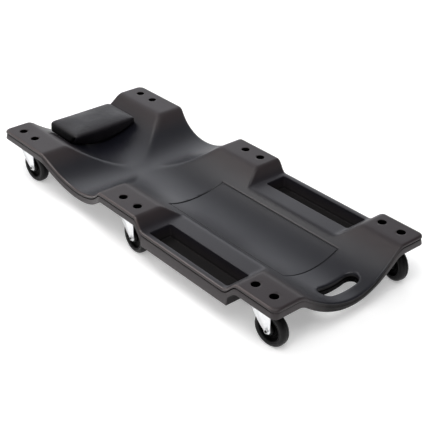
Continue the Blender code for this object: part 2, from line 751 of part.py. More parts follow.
def plate_mesh(look):
    body = flat("caster_plate", stadium(PLATE_LENGTH, PLATE_WIDTH, PLATE_CORNER, 2), PLATE_BOTTOM, PLATE_TOP)
    plate = mesh_object("caster_plate", body, look, cutters)
    sides = [(sign * BOLT_PITCH / 2, 0, 0) for sign in (-1, 1)]
    nut = rod("clinch_nut", NUT_RADIUS, NUT_BOTTOM, PLATE_BOTTOM + PLATE_THICKNESS / 2, 6)
    cut(plate, cutter("clinch_nuts", copies("clinch_nuts", nut, sides)), "UNION")
    bolt_bore = rod("bolt_bore", BOLT_RADIUS + BORE_GAP, 0, PAD_TOP_HEIGHT)
    cut(plate, cutter("bolt_bores", copies("bolt_bores", bolt_bore, sides)))
    pin_bore = rod("pin_bore", KINGPIN_RADIUS + BORE_GAP, 0, PAD_TOP_HEIGHT)
    cut(plate, cutter("pin_bore", pin_bore))
    data = baked(plate)
    shade(data)
    return data


def bolt_mesh():
    seat = BOLT_SEAT + SEAT_GAP
    data = turned("plate_bolt", [
        (0, seat + BOLT_HEAD_HEIGHT),
        (BOLT_HEAD_RADIUS - HEAD_CHAMFER, seat + BOLT_HEAD_HEIGHT),
        (BOLT_HEAD_RADIUS, seat),
        (BOLT_RADIUS, seat),
        (BOLT_RADIUS, NUT_BOTTOM + BOLT_TAIL),
        (0, NUT_BOTTOM + BOLT_TAIL),
    ])
    shade(data)
    return data


def race_mesh():
    bore = KINGPIN_RADIUS + BORE_GAP
    waist = RACE_RADIUS - RACE_LIP
    middle = (RACE_TOP + RACE_BOTTOM) / 2
    data = turned("swivel_race", [
        (bore, RACE_TOP),
        (waist, RACE_TOP),
        (RACE_RADIUS, middle),
        (waist, RACE_BOTTOM),
        (bore, RACE_BOTTOM),
        (bore, RACE_TOP),
    ])
    shade(data)
    return data


def kingpin_mesh():
    seat = FORK_WEB_BOTTOM - SEAT_GAP
    data = turned("kingpin", [
        (0, PLATE_TOP),
        (KINGPIN_RADIUS, PLATE_TOP),
        (KINGPIN_RADIUS, seat),
        (KINGPIN_HEAD_RADIUS, seat),
        (KINGPIN_HEAD_RADIUS - HEAD_CHAMFER, seat - KINGPIN_HEAD_HEIGHT),
        (0, seat - KINGPIN_HEAD_HEIGHT),
    ])
    shade(data)
    return data


def axle_mesh():
    # Head on one leg, plain end just past the nut on the other
    seat = FORK_OUTER_Y + SEAT_GAP
    data = turned("axle_bolt", [
        (0, seat + AXLE_HEAD_HEIGHT),
        (AXLE_HEAD_RADIUS - HEAD_CHAMFER, seat + AXLE_HEAD_HEIGHT),
        (AXLE_HEAD_RADIUS, seat),
        (AXLE_RADIUS, seat),
        (AXLE_RADIUS, -seat - AXLE_NUT_HEIGHT - AXLE_END),
        (0, -seat - AXLE_NUT_HEIGHT - AXLE_END),
    ], axis="Y")
    shade(data)
    return data


def axle_nut_mesh(look):
    seat = FORK_OUTER_Y + SEAT_GAP
    body = rod("axle_nut", AXLE_NUT_RADIUS, -seat - AXLE_NUT_HEIGHT, -seat, 6, "Y")
    nut = mesh_object("axle_nut", body, look, cutters)
    bore = rod("nut_bore", AXLE_BORE_RADIUS, -seat - AXLE_NUT_HEIGHT - CUT_OVERRUN, seat, axis="Y")
    cut(nut, cutter("nut_bore", bore))
    return baked(nut)


def make_casters(zinc, steel, rubber):
    fixed = {"caster_plate": plate_mesh(zinc), "kingpin": kingpin_mesh()}
    turning = {"swivel_race": race_mesh(), "fork": fork_mesh(zinc)}
    on_axle = {"axle_bolt": axle_mesh(), "axle_nut": axle_nut_mesh(zinc), "wheel": wheel_mesh()}
    bolt = bolt_mesh()
    looks = {"kingpin": steel, "swivel_race": steel, "axle_bolt": zinc, "wheel": rubber}
    for place, x, y in caster_places():
        swivel = bpy.data.objects.new(f"caster_{place}", None)
        parts.objects.link(swivel)
        swivel.location = (x, y, 0)
        swivel.rotation_euler.z = math.radians(REST_YAW[place])
        for name, data in fixed.items():
            mesh_object(f"{name}_{place}", data, looks.get(name), parts, (x, y, 0))
        for number, sign in enumerate((-1, 1), 1):
            mesh_object(f"plate_bolt_{number}_{place}", bolt, steel, parts, (x + sign * BOLT_PITCH / 2, y, 0))
        for name, data in turning.items():
            mesh_object(f"{name}_{place}", data, looks.get(name), parts, parent=swivel)
        for name, data in on_axle.items():
            axle = (CASTER_TRAIL, 0, WHEEL_RADIUS)
            mesh_object(f"{name}_{place}", data, looks.get(name), parts, axle, swivel)


clear_scene()
parts = new_collection("mechanic_creeper")
cutters = new_collection("cutters")
deck_plastic = material("deck_plastic", (0.045, 0.044, 0.046), 0.45)
black_vinyl = material("black_vinyl", (0.020, 0.020, 0.023), 0.42)
plywood = material("plywood", (0.42, 0.30, 0.18), 0.7)
plated_steel = material("plated_steel", (0.55, 0.55, 0.56), 0.35, 1.0)
bright_zinc = material("bright_zinc", (0.78, 0.79, 0.81), 0.28, 1.0)
wheel_black = material("wheel_black", (0.022, 0.022, 0.024), 0.5)
make_deck(deck_plastic)
make_headrest(black_vinyl, plywood, plated_steel)
make_casters(bright_zinc, plated_steel, wheel_black)
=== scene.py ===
import json
import math

import bpy
from mathutils import Matrix, Vector


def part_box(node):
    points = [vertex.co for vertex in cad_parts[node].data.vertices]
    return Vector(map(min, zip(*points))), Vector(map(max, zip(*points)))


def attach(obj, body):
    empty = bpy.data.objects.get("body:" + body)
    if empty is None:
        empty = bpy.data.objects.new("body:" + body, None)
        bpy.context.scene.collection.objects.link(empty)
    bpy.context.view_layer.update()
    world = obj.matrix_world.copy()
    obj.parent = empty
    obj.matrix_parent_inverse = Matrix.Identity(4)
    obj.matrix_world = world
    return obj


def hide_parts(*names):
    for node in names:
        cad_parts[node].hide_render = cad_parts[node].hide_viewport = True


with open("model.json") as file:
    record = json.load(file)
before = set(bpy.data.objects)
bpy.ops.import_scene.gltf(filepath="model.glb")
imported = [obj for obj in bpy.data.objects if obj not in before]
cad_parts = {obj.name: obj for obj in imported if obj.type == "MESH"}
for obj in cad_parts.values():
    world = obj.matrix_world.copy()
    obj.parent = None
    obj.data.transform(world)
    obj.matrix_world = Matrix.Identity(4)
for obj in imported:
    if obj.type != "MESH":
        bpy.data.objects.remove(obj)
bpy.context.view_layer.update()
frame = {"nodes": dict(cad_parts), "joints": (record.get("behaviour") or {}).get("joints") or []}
jointPlaces = {joint["name"]: Vector(joint["pos_m"]) for joint in frame["joints"]}
casterNames = [name[len("swivel_"):] for name in jointPlaces if name.startswith("swivel_")]
print("frame loaded:", len(frame["nodes"]), "nodes,", len(casterNames), "casters")


# selecting, editing and finishing a piece

def pick(piece):
    bpy.ops.object.select_all(action="DESELECT")
    piece.select_set(True)
    bpy.context.view_layer.objects.active = piece


def edit(piece, selectMode="VERT", action="SELECT"):
    pick(piece)
    bpy.ops.object.mode_set(mode="EDIT")
    bpy.ops.mesh.select_mode(type=selectMode)
    bpy.ops.mesh.select_all(action=action)


def leaveEdit():
    bpy.ops.object.mode_set(mode="OBJECT")


def started(name):
    piece = bpy.context.object
    piece.name = name
    piece.data.name = name
    return piece


def applied(piece, kind, **settings):
    pick(piece)
    step = piece.modifiers.new(kind.lower(), kind)
    for setting, value in settings.items():
        setattr(step, setting, value)
    bpy.ops.object.modifier_apply(modifier=step.name)


def cleaned(piece, weld=0.00001):
    edit(piece)
    bpy.ops.mesh.remove_doubles(threshold=weld)
    bpy.ops.mesh.normals_make_consistent(inside=False)
    leaveEdit()


def smoothed(piece, angle):
    pick(piece)
    bpy.ops.object.shade_smooth_by_angle(angle=math.radians(angle))


def joined(pieces, name):
    bpy.ops.object.select_all(action="DESELECT")
    for piece in pieces:
        piece.select_set(True)
    bpy.context.view_layer.objects.active = pieces[0]
    bpy.ops.object.join()
    return started(name)


def carved(piece, tool):
    applied(piece, "BOOLEAN", operation="DIFFERENCE", solver="EXACT", object=tool)
    bpy.data.objects.remove(tool, do_unlink=True)


def copied(piece, name, place):
    twin = piece.copy()
    twin.data = piece.data.copy()
    twin.name = name
    twin.data.name = name
    twin.data.transform(place)
    bpy.context.scene.collection.objects.link(twin)
    return twin


def pointValues(piece, *names):
    # under each name a number for every point, for the finishes to read
    layers = piece.data.attributes
    for name in names:
        if name not in layers:
            layers.new(name, "FLOAT", "POINT")
    return [layers[name].data for name in names]


def startRing(name, spots, filled):
    # a ring whose points keep their number as a tag
    bpy.ops.object.select_all(action="DESELECT")
    bpy.ops.mesh.primitive_circle_add(vertices=len(spots), fill_type="NGON" if filled else "NOTHING")
    ring = started(name)
    ring.data.attributes.new("tag", "INT", "POINT").data.foreach_set("value", range(len(spots)))
    for point, spot in zip(ring.data.vertices, spots):
        point.co = spot
    return ring


def untag(piece):
    piece.data.attributes.remove(piece.data.attributes["tag"])


def drawOut(piece, spots):
    # extrudes the selected rim once; each new point goes to the spot of its tag
    bpy.ops.object.mode_set(mode="EDIT")
    bpy.ops.mesh.extrude_edges_move()
    leaveEdit()
    tags = piece.data.attributes["tag"].data
    for point in piece.data.vertices:
        if point.select:
            point.co = spots(tags[point.index].value)


def loft(name, loops, capped=True):
    # a ring of points drawn out from loop to loop
    piece = startRing(name, loops[0], capped)
    edit(piece, "EDGE")
    leaveEdit()
    for loop in loops[1:]:
        drawOut(piece, lambda tag: loop[tag])
    if capped:
        bpy.ops.object.mode_set(mode="EDIT")
        bpy.ops.mesh.edge_face_add()
        leaveEdit()
    cleaned(piece)
    untag(piece)
    return piece


def turnedLoops(profile, steps, radiusAt=None):
    # radius and height pairs, turned about Z; radiusAt can make a loop six-sided
    loops = []
    for radius, height in profile:
        loop = []
        for step in range(steps):
            angle = 2 * math.pi * step / steps
            reach = radiusAt(radius, angle) if radiusAt else radius
            loop.append(Vector((reach * math.cos(angle), reach * math.sin(angle), height)))
        loops.append(loop)
    return loops


def stepped(radius, height, steps):
    # points of a profile, measured from a radius and a height
    return [(radius + out, height + up) for out, up in steps]


def spread(start, spans):
    # stations from start on; each span has its end and the number of steps to it
    stations = [start]
    for end, count in spans:
        stations += [start + (end - start) * step / count for step in range(1, count + 1)]
        start = end
    return stations


def clamped(value):
    return min(1, max(0, value))


def softMin(a, b, softness):
    share = clamped(0.5 + 0.5 * (b - a) / softness)
    return b + (a - b) * share - softness * share * (1 - share)


def ease(low, high, value):
    share = clamped((value - low) / (high - low))
    return share * share * (3 - 2 * share)


# the moulded deck; steps of a profile go outwards and upwards, those of the edge groove inwards and down

deckSet = {
    "padThickness": 0.024, "bedThickness": 0.0235, "cornerRadius": 0.013, "topCornerRadius": 0.019,
    "footBow": 0.010, "footBowUnder": 0.004, "waistInset": 0.0150,
    "troughDepth": 0.060, "troughFromCaster": 0.043,
    "headPadReach": 0.102, "midPadHeadReach": 0.070, "midPadFootReach": 0.061, "footPadReach": 0.054,
    "scoopShoulder": 0.013, "scoopDepth": 0.060, "scoopSideDepth": 0.0490,
    "shelfDrop": 0.030, "shelfHeadRamp": 0.018, "shelfFootRamp": 0.030,
    "softness": 0.0095, "sharpness": 0.65, "sharpDepth": (0.004, 0.032),
    # the edge: a rounded lip, a groove under it, then a plain band down to the underside
    "edgeRound": 0.007, "edgeFullness": 0.72, "lipInset": 0.0006, "lipDrop": 0.0064, "bandInset": 0.001,
    "lipTurns": (0, 12, 25, 38, 51, 64, 77, 90),
    "groove": ((0.0010, 0.0069), (0.0031, 0.0074), (0.0039, 0.0081), (0.0039, 0.0090), (0.0032, 0.0098),
               (0.0018, 0.0103), (0.0014, 0.0111), (0.0013, 0.0124)),
    "lowerRound": 0.0016, "lowerTurns": (0, 30, 60, 90),
    "footSoftness": 0.75, "grooveFade": (0.035, 0.010), "grooveFadeAcross": (0.02, 0.10),
    # how finely it is divided
    "endZone": 0.033, "endTurns": (90, 72, 56, 42, 29, 18, 9), "padSteps": 5,
    "cornerTurns": range(10, 91, 10),
    # what the finish is told: the painted highlight along the lip and how it fades near the foot end, the
    # rings that get painted shade in the groove, painted shade on the underside and along the foot band, and
    # how deep the bed lies
    "edgeLight": (0, 0.15, 0.5, 1.0, 0.8, 0.4, 0.1, 0), "lipFade": (0.022, 0.005), "grooveRings": (9, 12),
    "underShade": 0.65, "underBand": 0.0005, "bedDepth": (0.008, 0.040),
    "footShade": 0.8, "footBand": 0.014, "footShadeAcross": (0.07, 0.14),
}
traySet = {
    "headReach": 0.077, "footReach": 0.0735, "draft": 0.005, "rim": 0.015, "width": 0.0585, "skirt": 0.009,
    "underside": 0.054, "floor": 0.058, "endWall": 0.0175, "corner": 0.004, "cornerSteps": 8,
    "profile": {
        "trayFloor": ((-0.0036, 0), (-0.0024, 0.0003), (-0.0013, 0.0012), (-0.0008, 0.0026)),
        "top": ((0, -0.0022), (0.0002, -0.0012), (0.0007, -0.0005), (0.0015, 0.0001), (0.0024, 0.0008)),
        "pad": ((0.0030, 0.006),),
    },
    "shade": 0.84, "shadeFrom": 0.0025, "shadeDepth": (0.002, 0.010), "shadeMargin": 0.001,
}
panelSet = {
    "headReach": 0.0080, "footReach": 0.393, "headBow": 0.009, "halfWidth": 0.080, "recess": 0.0006,
    "end": {"half": 0.0021, "depth": 0.0020, "shade": 0.95},
    "left": {"half": 0.0027, "depth": 0.0014, "shade": 0.95},
    "right": {"half": 0.0017, "depth": 0.0014, "shade": 0.68},
    # the side rim's light value is a painted highlight just outside the panel's sides
    "sideRim": 0.0028, "sideRimPaintedHighlight": 0.45,
}
slotSet = {
    "length": 0.106, "width": 0.036, "footInset": 0.050,
    "endFlat": 0.0003, "cornerSteps": 14, "longest": 0.004,
    "profile": {
        "ground": ((0.0040, 0.020),),
        "underside": ((0.0014, -0.0006), (0.0005, 0.0005), (0, 0.0016)),
        "middle": ((0, -0.0016), (-0.0009, 0), (0, 0.0016)),
        "top": ((0, -0.0030), (0.0005, -0.0015), (0.0016, -0.0005), (0.0031, 0.0003), (0.0044, 0.0016)),
        "pad": ((0.0050, 0),),
    },
    "shadeFrom": 0.002, "shadeDepth": (0.001, 0.006), "shadeMargin": 0.0012,
}
wellSet = {
    "radius": 0.0100, "depth": 0.014, "bore": 0.0034, "through": 0.034, "pitch": 0.054, "steps": 40,
    "foot": ((-0.0012, 0), (-0.0003, 0.0004), (0, 0.0014)),
    "mouth": ((0, -0.0008), (0.0002, -0.0003), (0.0007, 0.0001), (0.0012, 0.006)),
    "shadeFrom": 0.0006, "shadeMargin": 0.0004,
}

deckLow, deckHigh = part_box("deck")
padTop = deckHigh.z
halfWidth = deckHigh.y
headEdge = deckLow.x
footEdge = deckHigh.x - deckSet["footBow"] + deckSet["lipInset"]
casterX = {end: jointPlaces[f"swivel_{end}_right"].x for end in ("head", "mid", "foot")}
casterY = jointPlaces["swivel_mid_right"].y
troughHalf = casterY - deckSet["troughFromCaster"]
headPadEnd = casterX["head"] + deckSet["headPadReach"]
midPadStart = casterX["mid"] - deckSet["midPadHeadReach"]
midPadEnd = casterX["mid"] + deckSet["midPadFootReach"]
footPadStart = casterX["foot"] - deckSet["footPadReach"]
trayStart = casterX["mid"] + traySet["headReach"]
trayEnd = casterX["foot"] - traySet["footReach"]
trayOuter = halfWidth - traySet["rim"]
trayInner = trayOuter - traySet["width"]
traySkirt = trayInner - traySet["skirt"]
panelStart = casterX["mid"] + panelSet["headReach"]
panelEnd = casterX["mid"] + panelSet["footReach"]
slotX = deckHigh.x - slotSet["footInset"]
wellSpots = [Vector((x + along * wellSet["pitch"], side * casterY, 0))
             for x in casterX.values() for side in (-1, 1) for along in (-0.5, 0.5)]


def scoopAt(x):
    chord = midPadStart - headPadEnd - 2 * deckSet["scoopShoulder"]
    depth = deckSet["scoopDepth"]
    radius = (chord * chord / 4 + depth * depth) / (2 * depth)
    away = x - (headPadEnd + midPadStart) / 2
    return radius - depth - math.sqrt(max(0, radius * radius - away * away))


def scoopHeight(x, y):
    rise = 1 - deckSet["scoopSideDepth"] / deckSet["scoopDepth"]
    return scoopAt(x) * (1 - rise * (y / halfWidth) ** 2)


def shelfAt(x):
    drop = deckSet["shelfDrop"]
    headRamp = (midPadEnd - x) * drop / deckSet["shelfHeadRamp"]
    footRamp = (x - footPadStart) * drop / deckSet["shelfFootRamp"]
    return -softMin(drop, -max(headRamp, footRamp), deckSet["softness"])


def topAt(x, y):
    # ridges are soft beside the pads and sharper low down in the bed
    softness = deckSet["softness"]
    trough = -deckSet["troughDepth"] * (1 - (y / troughHalf) ** 2)
    ridge = softness * (1 - deckSet["sharpness"] * ease(*deckSet["sharpDepth"], -trough))
    lowest = softMin(min(scoopHeight(x, y), shelfAt(x)), trough, ridge)
    return padTop + softMin(lowest, 0, softness)


def thicknessAt(x, y):
    depth = padTop - topAt(x, y)
    thinning = deckSet["bedThickness"] - deckSet["padThickness"]
    return deckSet["padThickness"] + thinning * depth / deckSet["troughDepth"]


def undersideAt(x, y):
    plain = topAt(x, y) - thicknessAt(x, y)
    draft = traySet["draft"]
    alongTray = ease(trayStart, trayStart + draft, x) * ease(-trayEnd, draft - trayEnd, -x)
    acrossTray = ease(traySkirt - traySet["skirt"], traySkirt, abs(y))
    return plain + (min(plain, traySet["underside"]) - plain) * alongTray * acrossTray


def outsidePanel(x, y):
    # distance past the border's ends and past its sides
    side = panelSet["halfWidth"]
    headBorder = panelStart - panelSet["headBow"] * max(0, 1 - (y / side) ** 2)
    return max(headBorder - x, x - panelEnd), abs(y) - side


def borderAt(pastEnd, pastSide, y):
    # the groove round the panel: deepest at the ends, wider and with more painted shade on the left than on
    # the right
    if pastEnd > pastSide:
        return panelSet["end"]
    return panelSet["left" if y < 0 else "right"]


def panelDrop(x, y):
    # a shallow recess with a narrow groove at its border
    pastEnd, pastSide = outsidePanel(x, y)
    past = max(pastEnd, pastSide)
    border = borderAt(pastEnd, pastSide, y)
    recess = panelSet["recess"] * (1 - ease(-border["half"], border["half"], past))
    return recess + border["depth"] * max(0, 1 - (past / border["half"]) ** 2)


def halfWidthAt(x):
    return halfWidth - deckSet["waistInset"] * clamped(-scoopAt(x) / deckSet["scoopDepth"])


def cornerRadiusAt(inset):
    grown = (deckSet["topCornerRadius"] - deckSet["cornerRadius"]) * inset / deckSet["edgeRound"]
    return deckSet["cornerRadius"] + grown


def cornerDrop(y, inset):
    radius = cornerRadiusAt(inset)
    past = min(radius, max(0, abs(y) - (halfWidth - inset - radius)))
    return radius - math.sqrt(radius * radius - past * past)


def headOutline(y, inset):
    return headEdge + inset + cornerDrop(y, inset)


def footOutline(y, inset, bow):
    return footEdge + bow * max(0, 1 - (y / troughHalf) ** 2) ** 2 - inset - cornerDrop(y, inset)


def nearFoot(fade, x):
    start, end = deckSet[fade]
    return ease(footEdge - start, footEdge - end, x)


def grooveAt(x, y):
    # the groove under the lip softens along the left half of the foot edge, and so does the shade painted in
    # it
    onLeft = 1 - ease(*deckSet["grooveFadeAcross"], y)
    return 1 - deckSet["footSoftness"] * nearFoot("grooveFade", x) * onLeft


def edgeRings():
    # inset from the outline, height from a level, that level, and the bow at the foot end
    lip, drop, bow = deckSet["lipInset"], deckSet["lipDrop"], deckSet["footBow"]
    reach = deckSet["edgeRound"] - lip
    fullness = deckSet["edgeFullness"]
    rings = []
    for angle in (math.radians(degrees) for degrees in deckSet["lipTurns"]):
        inward = reach * (1 - math.sin(angle) ** fullness)
        downward = drop * (1 - math.cos(angle) ** fullness)
        rings.append((lip + inward, -downward, "top", bow))
    rings += [(inset, -down, "top", bow) for inset, down in deckSet["groove"]]
    lower = deckSet["lowerRound"]
    for angle in (math.radians(degrees) for degrees in deckSet["lowerTurns"]):
        inward, upward = lower * (1 - math.cos(angle)), lower * (1 - math.sin(angle))
        rings.append((inward, upward, "underside", deckSet["footBowUnder"]))
    return rings


def deckStations():
    softness = deckSet["softness"]
    half = panelSet["end"]["half"]
    draft = traySet["draft"]
    return spread(headEdge + deckSet["endZone"], [
        (headPadEnd - softness, 20), (midPadStart + softness, 48),
        (panelStart - panelSet["headBow"] - half, 9), (panelStart + half, 22),
        (midPadEnd - softness, 6), (trayStart, 10), (trayStart + draft, 5),
        (trayEnd - draft, 48), (trayEnd, 5), (panelEnd - half, 4), (panelEnd + half, 6),
        (footPadStart + softness, 5), (footEdge - deckSet["endZone"], 14),
    ])


def deckColumns():
    half = panelSet["left"]["half"]
    side = panelSet["halfWidth"]
    return spread(0, [
        (side - half, 14), (side + half, 8), (side + half + panelSet["sideRim"], 3),
        (traySkirt - traySet["skirt"], 8), (traySkirt, 5), (troughHalf + deckSet["softness"], 5),
    ])


def buildDeck():
    stations = deckStations()
    columns = deckColumns()
    endSteps = [math.sin(math.radians(angle)) for angle in deckSet["endTurns"]]
    padSteps = [step / deckSet["padSteps"] for step in range(1, deckSet["padSteps"] + 1)]
    cornerTurns = [math.sin(math.radians(angle)) for angle in deckSet["cornerTurns"]]
    middle = len(columns) + len(padSteps) + len(cornerTurns) - 1
    rows = len(stations) + 2 * len(endSteps)
    width = 2 * middle + 1
    rings = edgeRings()

    def across(column, x, inset):
        side = abs(column - middle)
        radius = cornerRadiusAt(inset)
        arcStart = halfWidthAt(x) - inset - radius
        if side < len(columns):
            y = columns[side]
        elif side < len(columns) + len(padSteps):
            y = columns[-1] + (arcStart - columns[-1]) * padSteps[side - len(columns)]
        else:
            y = arcStart + radius * cornerTurns[side - len(columns) - len(padSteps)]
        return math.copysign(y, column - middle)

    def plan(row, column, inset, bow):
        step = min(row, rows - 1 - row)
        if step >= len(endSteps):
            x = stations[row - len(endSteps)]
            return x, across(column, x, inset)
        atHead = row == step
        start = stations[0] if atHead else stations[-1]
        y = across(column, start, inset)
        end = headOutline(y, inset) if atHead else footOutline(y, inset, bow)
        return start + (end - start) * endSteps[step], y

    def spot(row, column, ring):
        onRim = row in (0, rows - 1) or column in (0, width - 1)
        inset, drop, level, bow = rings[ring]
        baseX, baseY = plan(row, column, rings[0][0], rings[0][3])
        if level == "top":
            height = topAt(baseX, baseY) + drop * thicknessAt(baseX, baseY) / deckSet["padThickness"]
            if not onRim:
                height -= panelDrop(baseX, baseY)
        else:
            height = undersideAt(baseX, baseY) + drop
        if onRim and level == "top" and drop < -deckSet["lipDrop"]:
            inset = deckSet["bandInset"] + (inset - deckSet["bandInset"]) * grooveAt(baseX, baseY)
        x, y = plan(row, column, inset, bow) if onRim else (baseX, baseY)
        return Vector((x, y, height))

    def gridSheet(name, ring):
        bpy.ops.object.select_all(action="DESELECT")
        bpy.ops.mesh.primitive_grid_add(x_subdivisions=rows - 1, y_subdivisions=width - 1, size=2)
        sheet = started(name)
        tag = sheet.data.attributes.new("tag", "INT", "POINT")
        for point in sheet.data.vertices:
            row = round((point.co.x + 1) / 2 * (rows - 1))
            column = round((point.co.y + 1) / 2 * (width - 1))
            tag.data[point.index].value = row * width + column
            point.co = spot(row, column, ring)
        return sheet

    deck = gridSheet("deck_moulding", 0)
    edit(deck, "EDGE", "DESELECT")
    bpy.ops.mesh.select_non_manifold(extend=False)
    leaveEdit()
    # the lip's rings get a painted highlight that fades out near the foot end; the groove's rings get painted
    # shade
    lights = deckSet["edgeLight"]
    grooveStart, grooveEnd = deckSet["grooveRings"]
    for ring in range(1, len(rings)):
        drawOut(deck, lambda tag: spot(tag // width, tag % width, ring))
        light = lights[min(ring, len(lights) - 1)]
        inGroove = grooveStart <= ring <= grooveEnd
        edge, paintedShade = pointValues(deck, "edge", "paintedShade")
        for point in deck.data.vertices:
            if point.select:
                edge[point.index].value = light * (1 - nearFoot("lipFade", point.co.x))
                paintedShade[point.index].value = grooveAt(point.co.x, point.co.y) if inGroove else 0
    under = gridSheet("deck_underside", len(rings) - 1)
    deck = joined([deck, under], "deck_moulding")
    cleaned(deck)
    untag(deck)
    return deck


def inTray(x, y, z):
    margin = traySet["shadeMargin"]
    inLength = trayStart + traySet["endWall"] - margin < x < trayEnd - traySet["endWall"] + margin
    return inLength and trayInner - margin < abs(y) < trayOuter + margin and z > traySet["floor"] - margin


def inSlot(x, y):
    past = max(0, abs(y) - (slotSet["length"] - slotSet["width"]) / 2)
    return math.hypot(x - slotX, past) < slotSet["width"] / 2 + slotSet["shadeMargin"]


def inWell(x, y):
    reach = wellSet["radius"] + wellSet["shadeMargin"]
    return any(math.hypot(x - spot.x, y - spot.y) < reach for spot in wellSpots)


def zoneDeck(deck):
    # what the finish needs to know: the smooth bed, the duller panel in it, a painted highlight on the
    # panel's side rims, and painted shade in the hollows, the panel's border groove, the underside and the
    # foot band
    panel, bed, paintedShade, edge = pointValues(deck, "panel", "bed", "paintedShade", "edge")
    for point in deck.data.vertices:
        index = point.index
        x, y, z = point.co
        depth = topAt(x, y) - z
        onTop = depth < deckSet["edgeRound"] / 2
        pastEnd, pastSide = outsidePanel(x, y)
        past = max(pastEnd, pastSide)
        border = borderAt(pastEnd, pastSide, y)
        panel[index].value = 1 if onTop and past < 0 else 0
        bed[index].value = ease(*deckSet["bedDepth"], padTop - z) if onTop else 0
        # painted shade in the panel's border groove
        if onTop and abs(past) < border["half"]:
            paintedShade[index].value = border["shade"] * (1 - (past / border["half"]) ** 2)
        # a painted highlight on the rim just outside the panel's sides
        pastRim = (pastSide - border["half"]) / panelSet["sideRim"]
        if onTop and pastEnd < 0 and 0 < pastRim < 1:
            edge[index].value = panelSet["sideRimPaintedHighlight"] * (1 - pastRim)
        # painted shade on the underside and along the foot band
        if z < undersideAt(x, y) + deckSet["underBand"]:
            paintedShade[index].value = deckSet["underShade"]
        elif not onTop and x > footEdge - deckSet["footBand"]:
            shade = deckSet["footShade"] * (1 - ease(*deckSet["footShadeAcross"], abs(y)))
            paintedShade[index].value = max(paintedShade[index].value, shade)
        # painted shade inside the trays, the slot and the wells
        if depth > traySet["shadeFrom"] and inTray(x, y, z):
            paintedShade[index].value = traySet["shade"] * ease(*traySet["shadeDepth"], depth)
        if depth > slotSet["shadeFrom"] and inSlot(x, y):
            paintedShade[index].value = ease(*slotSet["shadeDepth"], depth)
        if depth > wellSet["shadeFrom"] and inWell(x, y):
            paintedShade[index].value = 1


def roundedOutline(length, width, radius, offset, cornerSteps):
    points = []
    reach = radius + offset
    for quarter in range(4):
        signX = 1 if quarter in (0, 3) else -1
        signY = 1 if quarter < 2 else -1
        for step in range(cornerSteps + 1):
            angle = (quarter + step / cornerSteps) * math.pi / 2
            points.append((signX * (length / 2 - radius) + reach * math.cos(angle),
                           signY * (width / 2 - radius) + reach * math.sin(angle)))
    return points


def filledOut(points, longest):
    # more points along the straight sides, so that an outline can follow a curved surface
    filled = []
    for first, last in zip(points, points[1:] + points[:1]):
        steps = max(1, math.ceil(math.dist(first, last) / longest))
        for share in (step / steps for step in range(steps)):
            filled.append((first[0] + (last[0] - first[0]) * share, first[1] + (last[1] - first[1]) * share))
    return filled


levels = {
    "ground": lambda x, y: 0,
    "trayFloor": lambda x, y: traySet["floor"],
    "underside": undersideAt,
    "middle": lambda x, y: (topAt(x, y) + undersideAt(x, y)) / 2,
    "top": topAt,
    "pad": lambda x, y: padTop,
}


def pocketCutter(name, centreX, centreY, profile, outlineAt):
    # a profile's steps go out from the outline and up from the level that they are listed under
    loops = []
    for level, steps in profile.items():
        for offset, height in steps:
            spots = [(centreX + x, centreY + y) for x, y in outlineAt(offset)]
            loops.append([Vector((x, y, levels[level](x, y) + height)) for x, y in spots])
    return loft(name, loops)


def trayCutter(side):
    length = trayEnd - trayStart - 2 * traySet["endWall"]

    def outlineAt(offset):
        return roundedOutline(length, traySet["width"], traySet["corner"], offset, traySet["cornerSteps"])

    return pocketCutter("tray_pocket", (trayStart + trayEnd) / 2, side * (trayInner + trayOuter) / 2,
                        traySet["profile"], outlineAt)


def slotCutter():
    width, length = slotSet["width"], slotSet["length"]
    radius = width / 2 - slotSet["endFlat"]

    def outlineAt(offset):
        outline = roundedOutline(width, length, radius, offset, slotSet["cornerSteps"])
        return filledOut(outline, slotSet["longest"])

    return pocketCutter("carry_slot", slotX, 0, slotSet["profile"], outlineAt)


def wellCutter():
    seat = padTop - wellSet["depth"]
    radius, bore = wellSet["radius"], wellSet["bore"]
    profile = [(bore, padTop - wellSet["through"]), (bore, seat)]
    profile += stepped(radius, seat, wellSet["foot"]) + stepped(radius, padTop, wellSet["mouth"])
    well = loft("well", turnedLoops(profile, wellSet["steps"]))
    wells = [copied(well, "well_copy", Matrix.Translation(spot)) for spot in wellSpots]
    bpy.data.objects.remove(well, do_unlink=True)
    return joined(wells, "wells")


deck = buildDeck()
print("deck surface:", len(deck.data.polygons), "faces")
carved(deck, wellCutter())
carved(deck, trayCutter(-1))
carved(deck, trayCutter(1))
carved(deck, slotCutter())
zoneDeck(deck)
smoothed(deck, angle=42)
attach(deck, "deck")
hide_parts("deck")
print("deck carved:", len(deck.data.polygons), "faces")


# the headrest pad: the solid drawn in a little, then blown up like vinyl over foam

padSet = {
    "drawIn": 0.0006, "voxel": 0.0035, "frames": 20, "mostMove": 0.0030, "mostRise": 0.002,
    "heldNormal": -0.45, "boardMargin": 0.008, "recessHeight": 0.018,
    "cloth": {"quality": 6, "mass": 0.3, "tension_stiffness": 60, "compression_stiffness": 60,
              "bending_stiffness": 25, "use_pressure": True, "uniform_pressure_force": 2.0,
              "vertex_group_mass": "held"},
    "smoothShare": 0.5, "smoothing": 18, "sideShade": (1.0, 0.15),
}


def stuffed(pad):
    start = [point.co.copy() for point in pad.data.vertices]
    cloth = pad.modifiers.new("stuffing", "CLOTH")
    for setting, value in padSet["cloth"].items():
        setattr(cloth.settings, setting, value)
    cloth.settings.effector_weights.gravity = 0
    cloth.point_cache.frame_end = padSet["frames"]
    for step in range(1, padSet["frames"] + 1):
        bpy.context.scene.frame_set(step)
    pick(pad)
    bpy.ops.object.modifier_apply(modifier="stuffing")
    bpy.context.scene.frame_set(1)
    for point, before in zip(pad.data.vertices, start):
        moved = point.co - before
        if moved.length > padSet["mostMove"]:
            point.co = before + moved.normalized() * padSet["mostMove"]


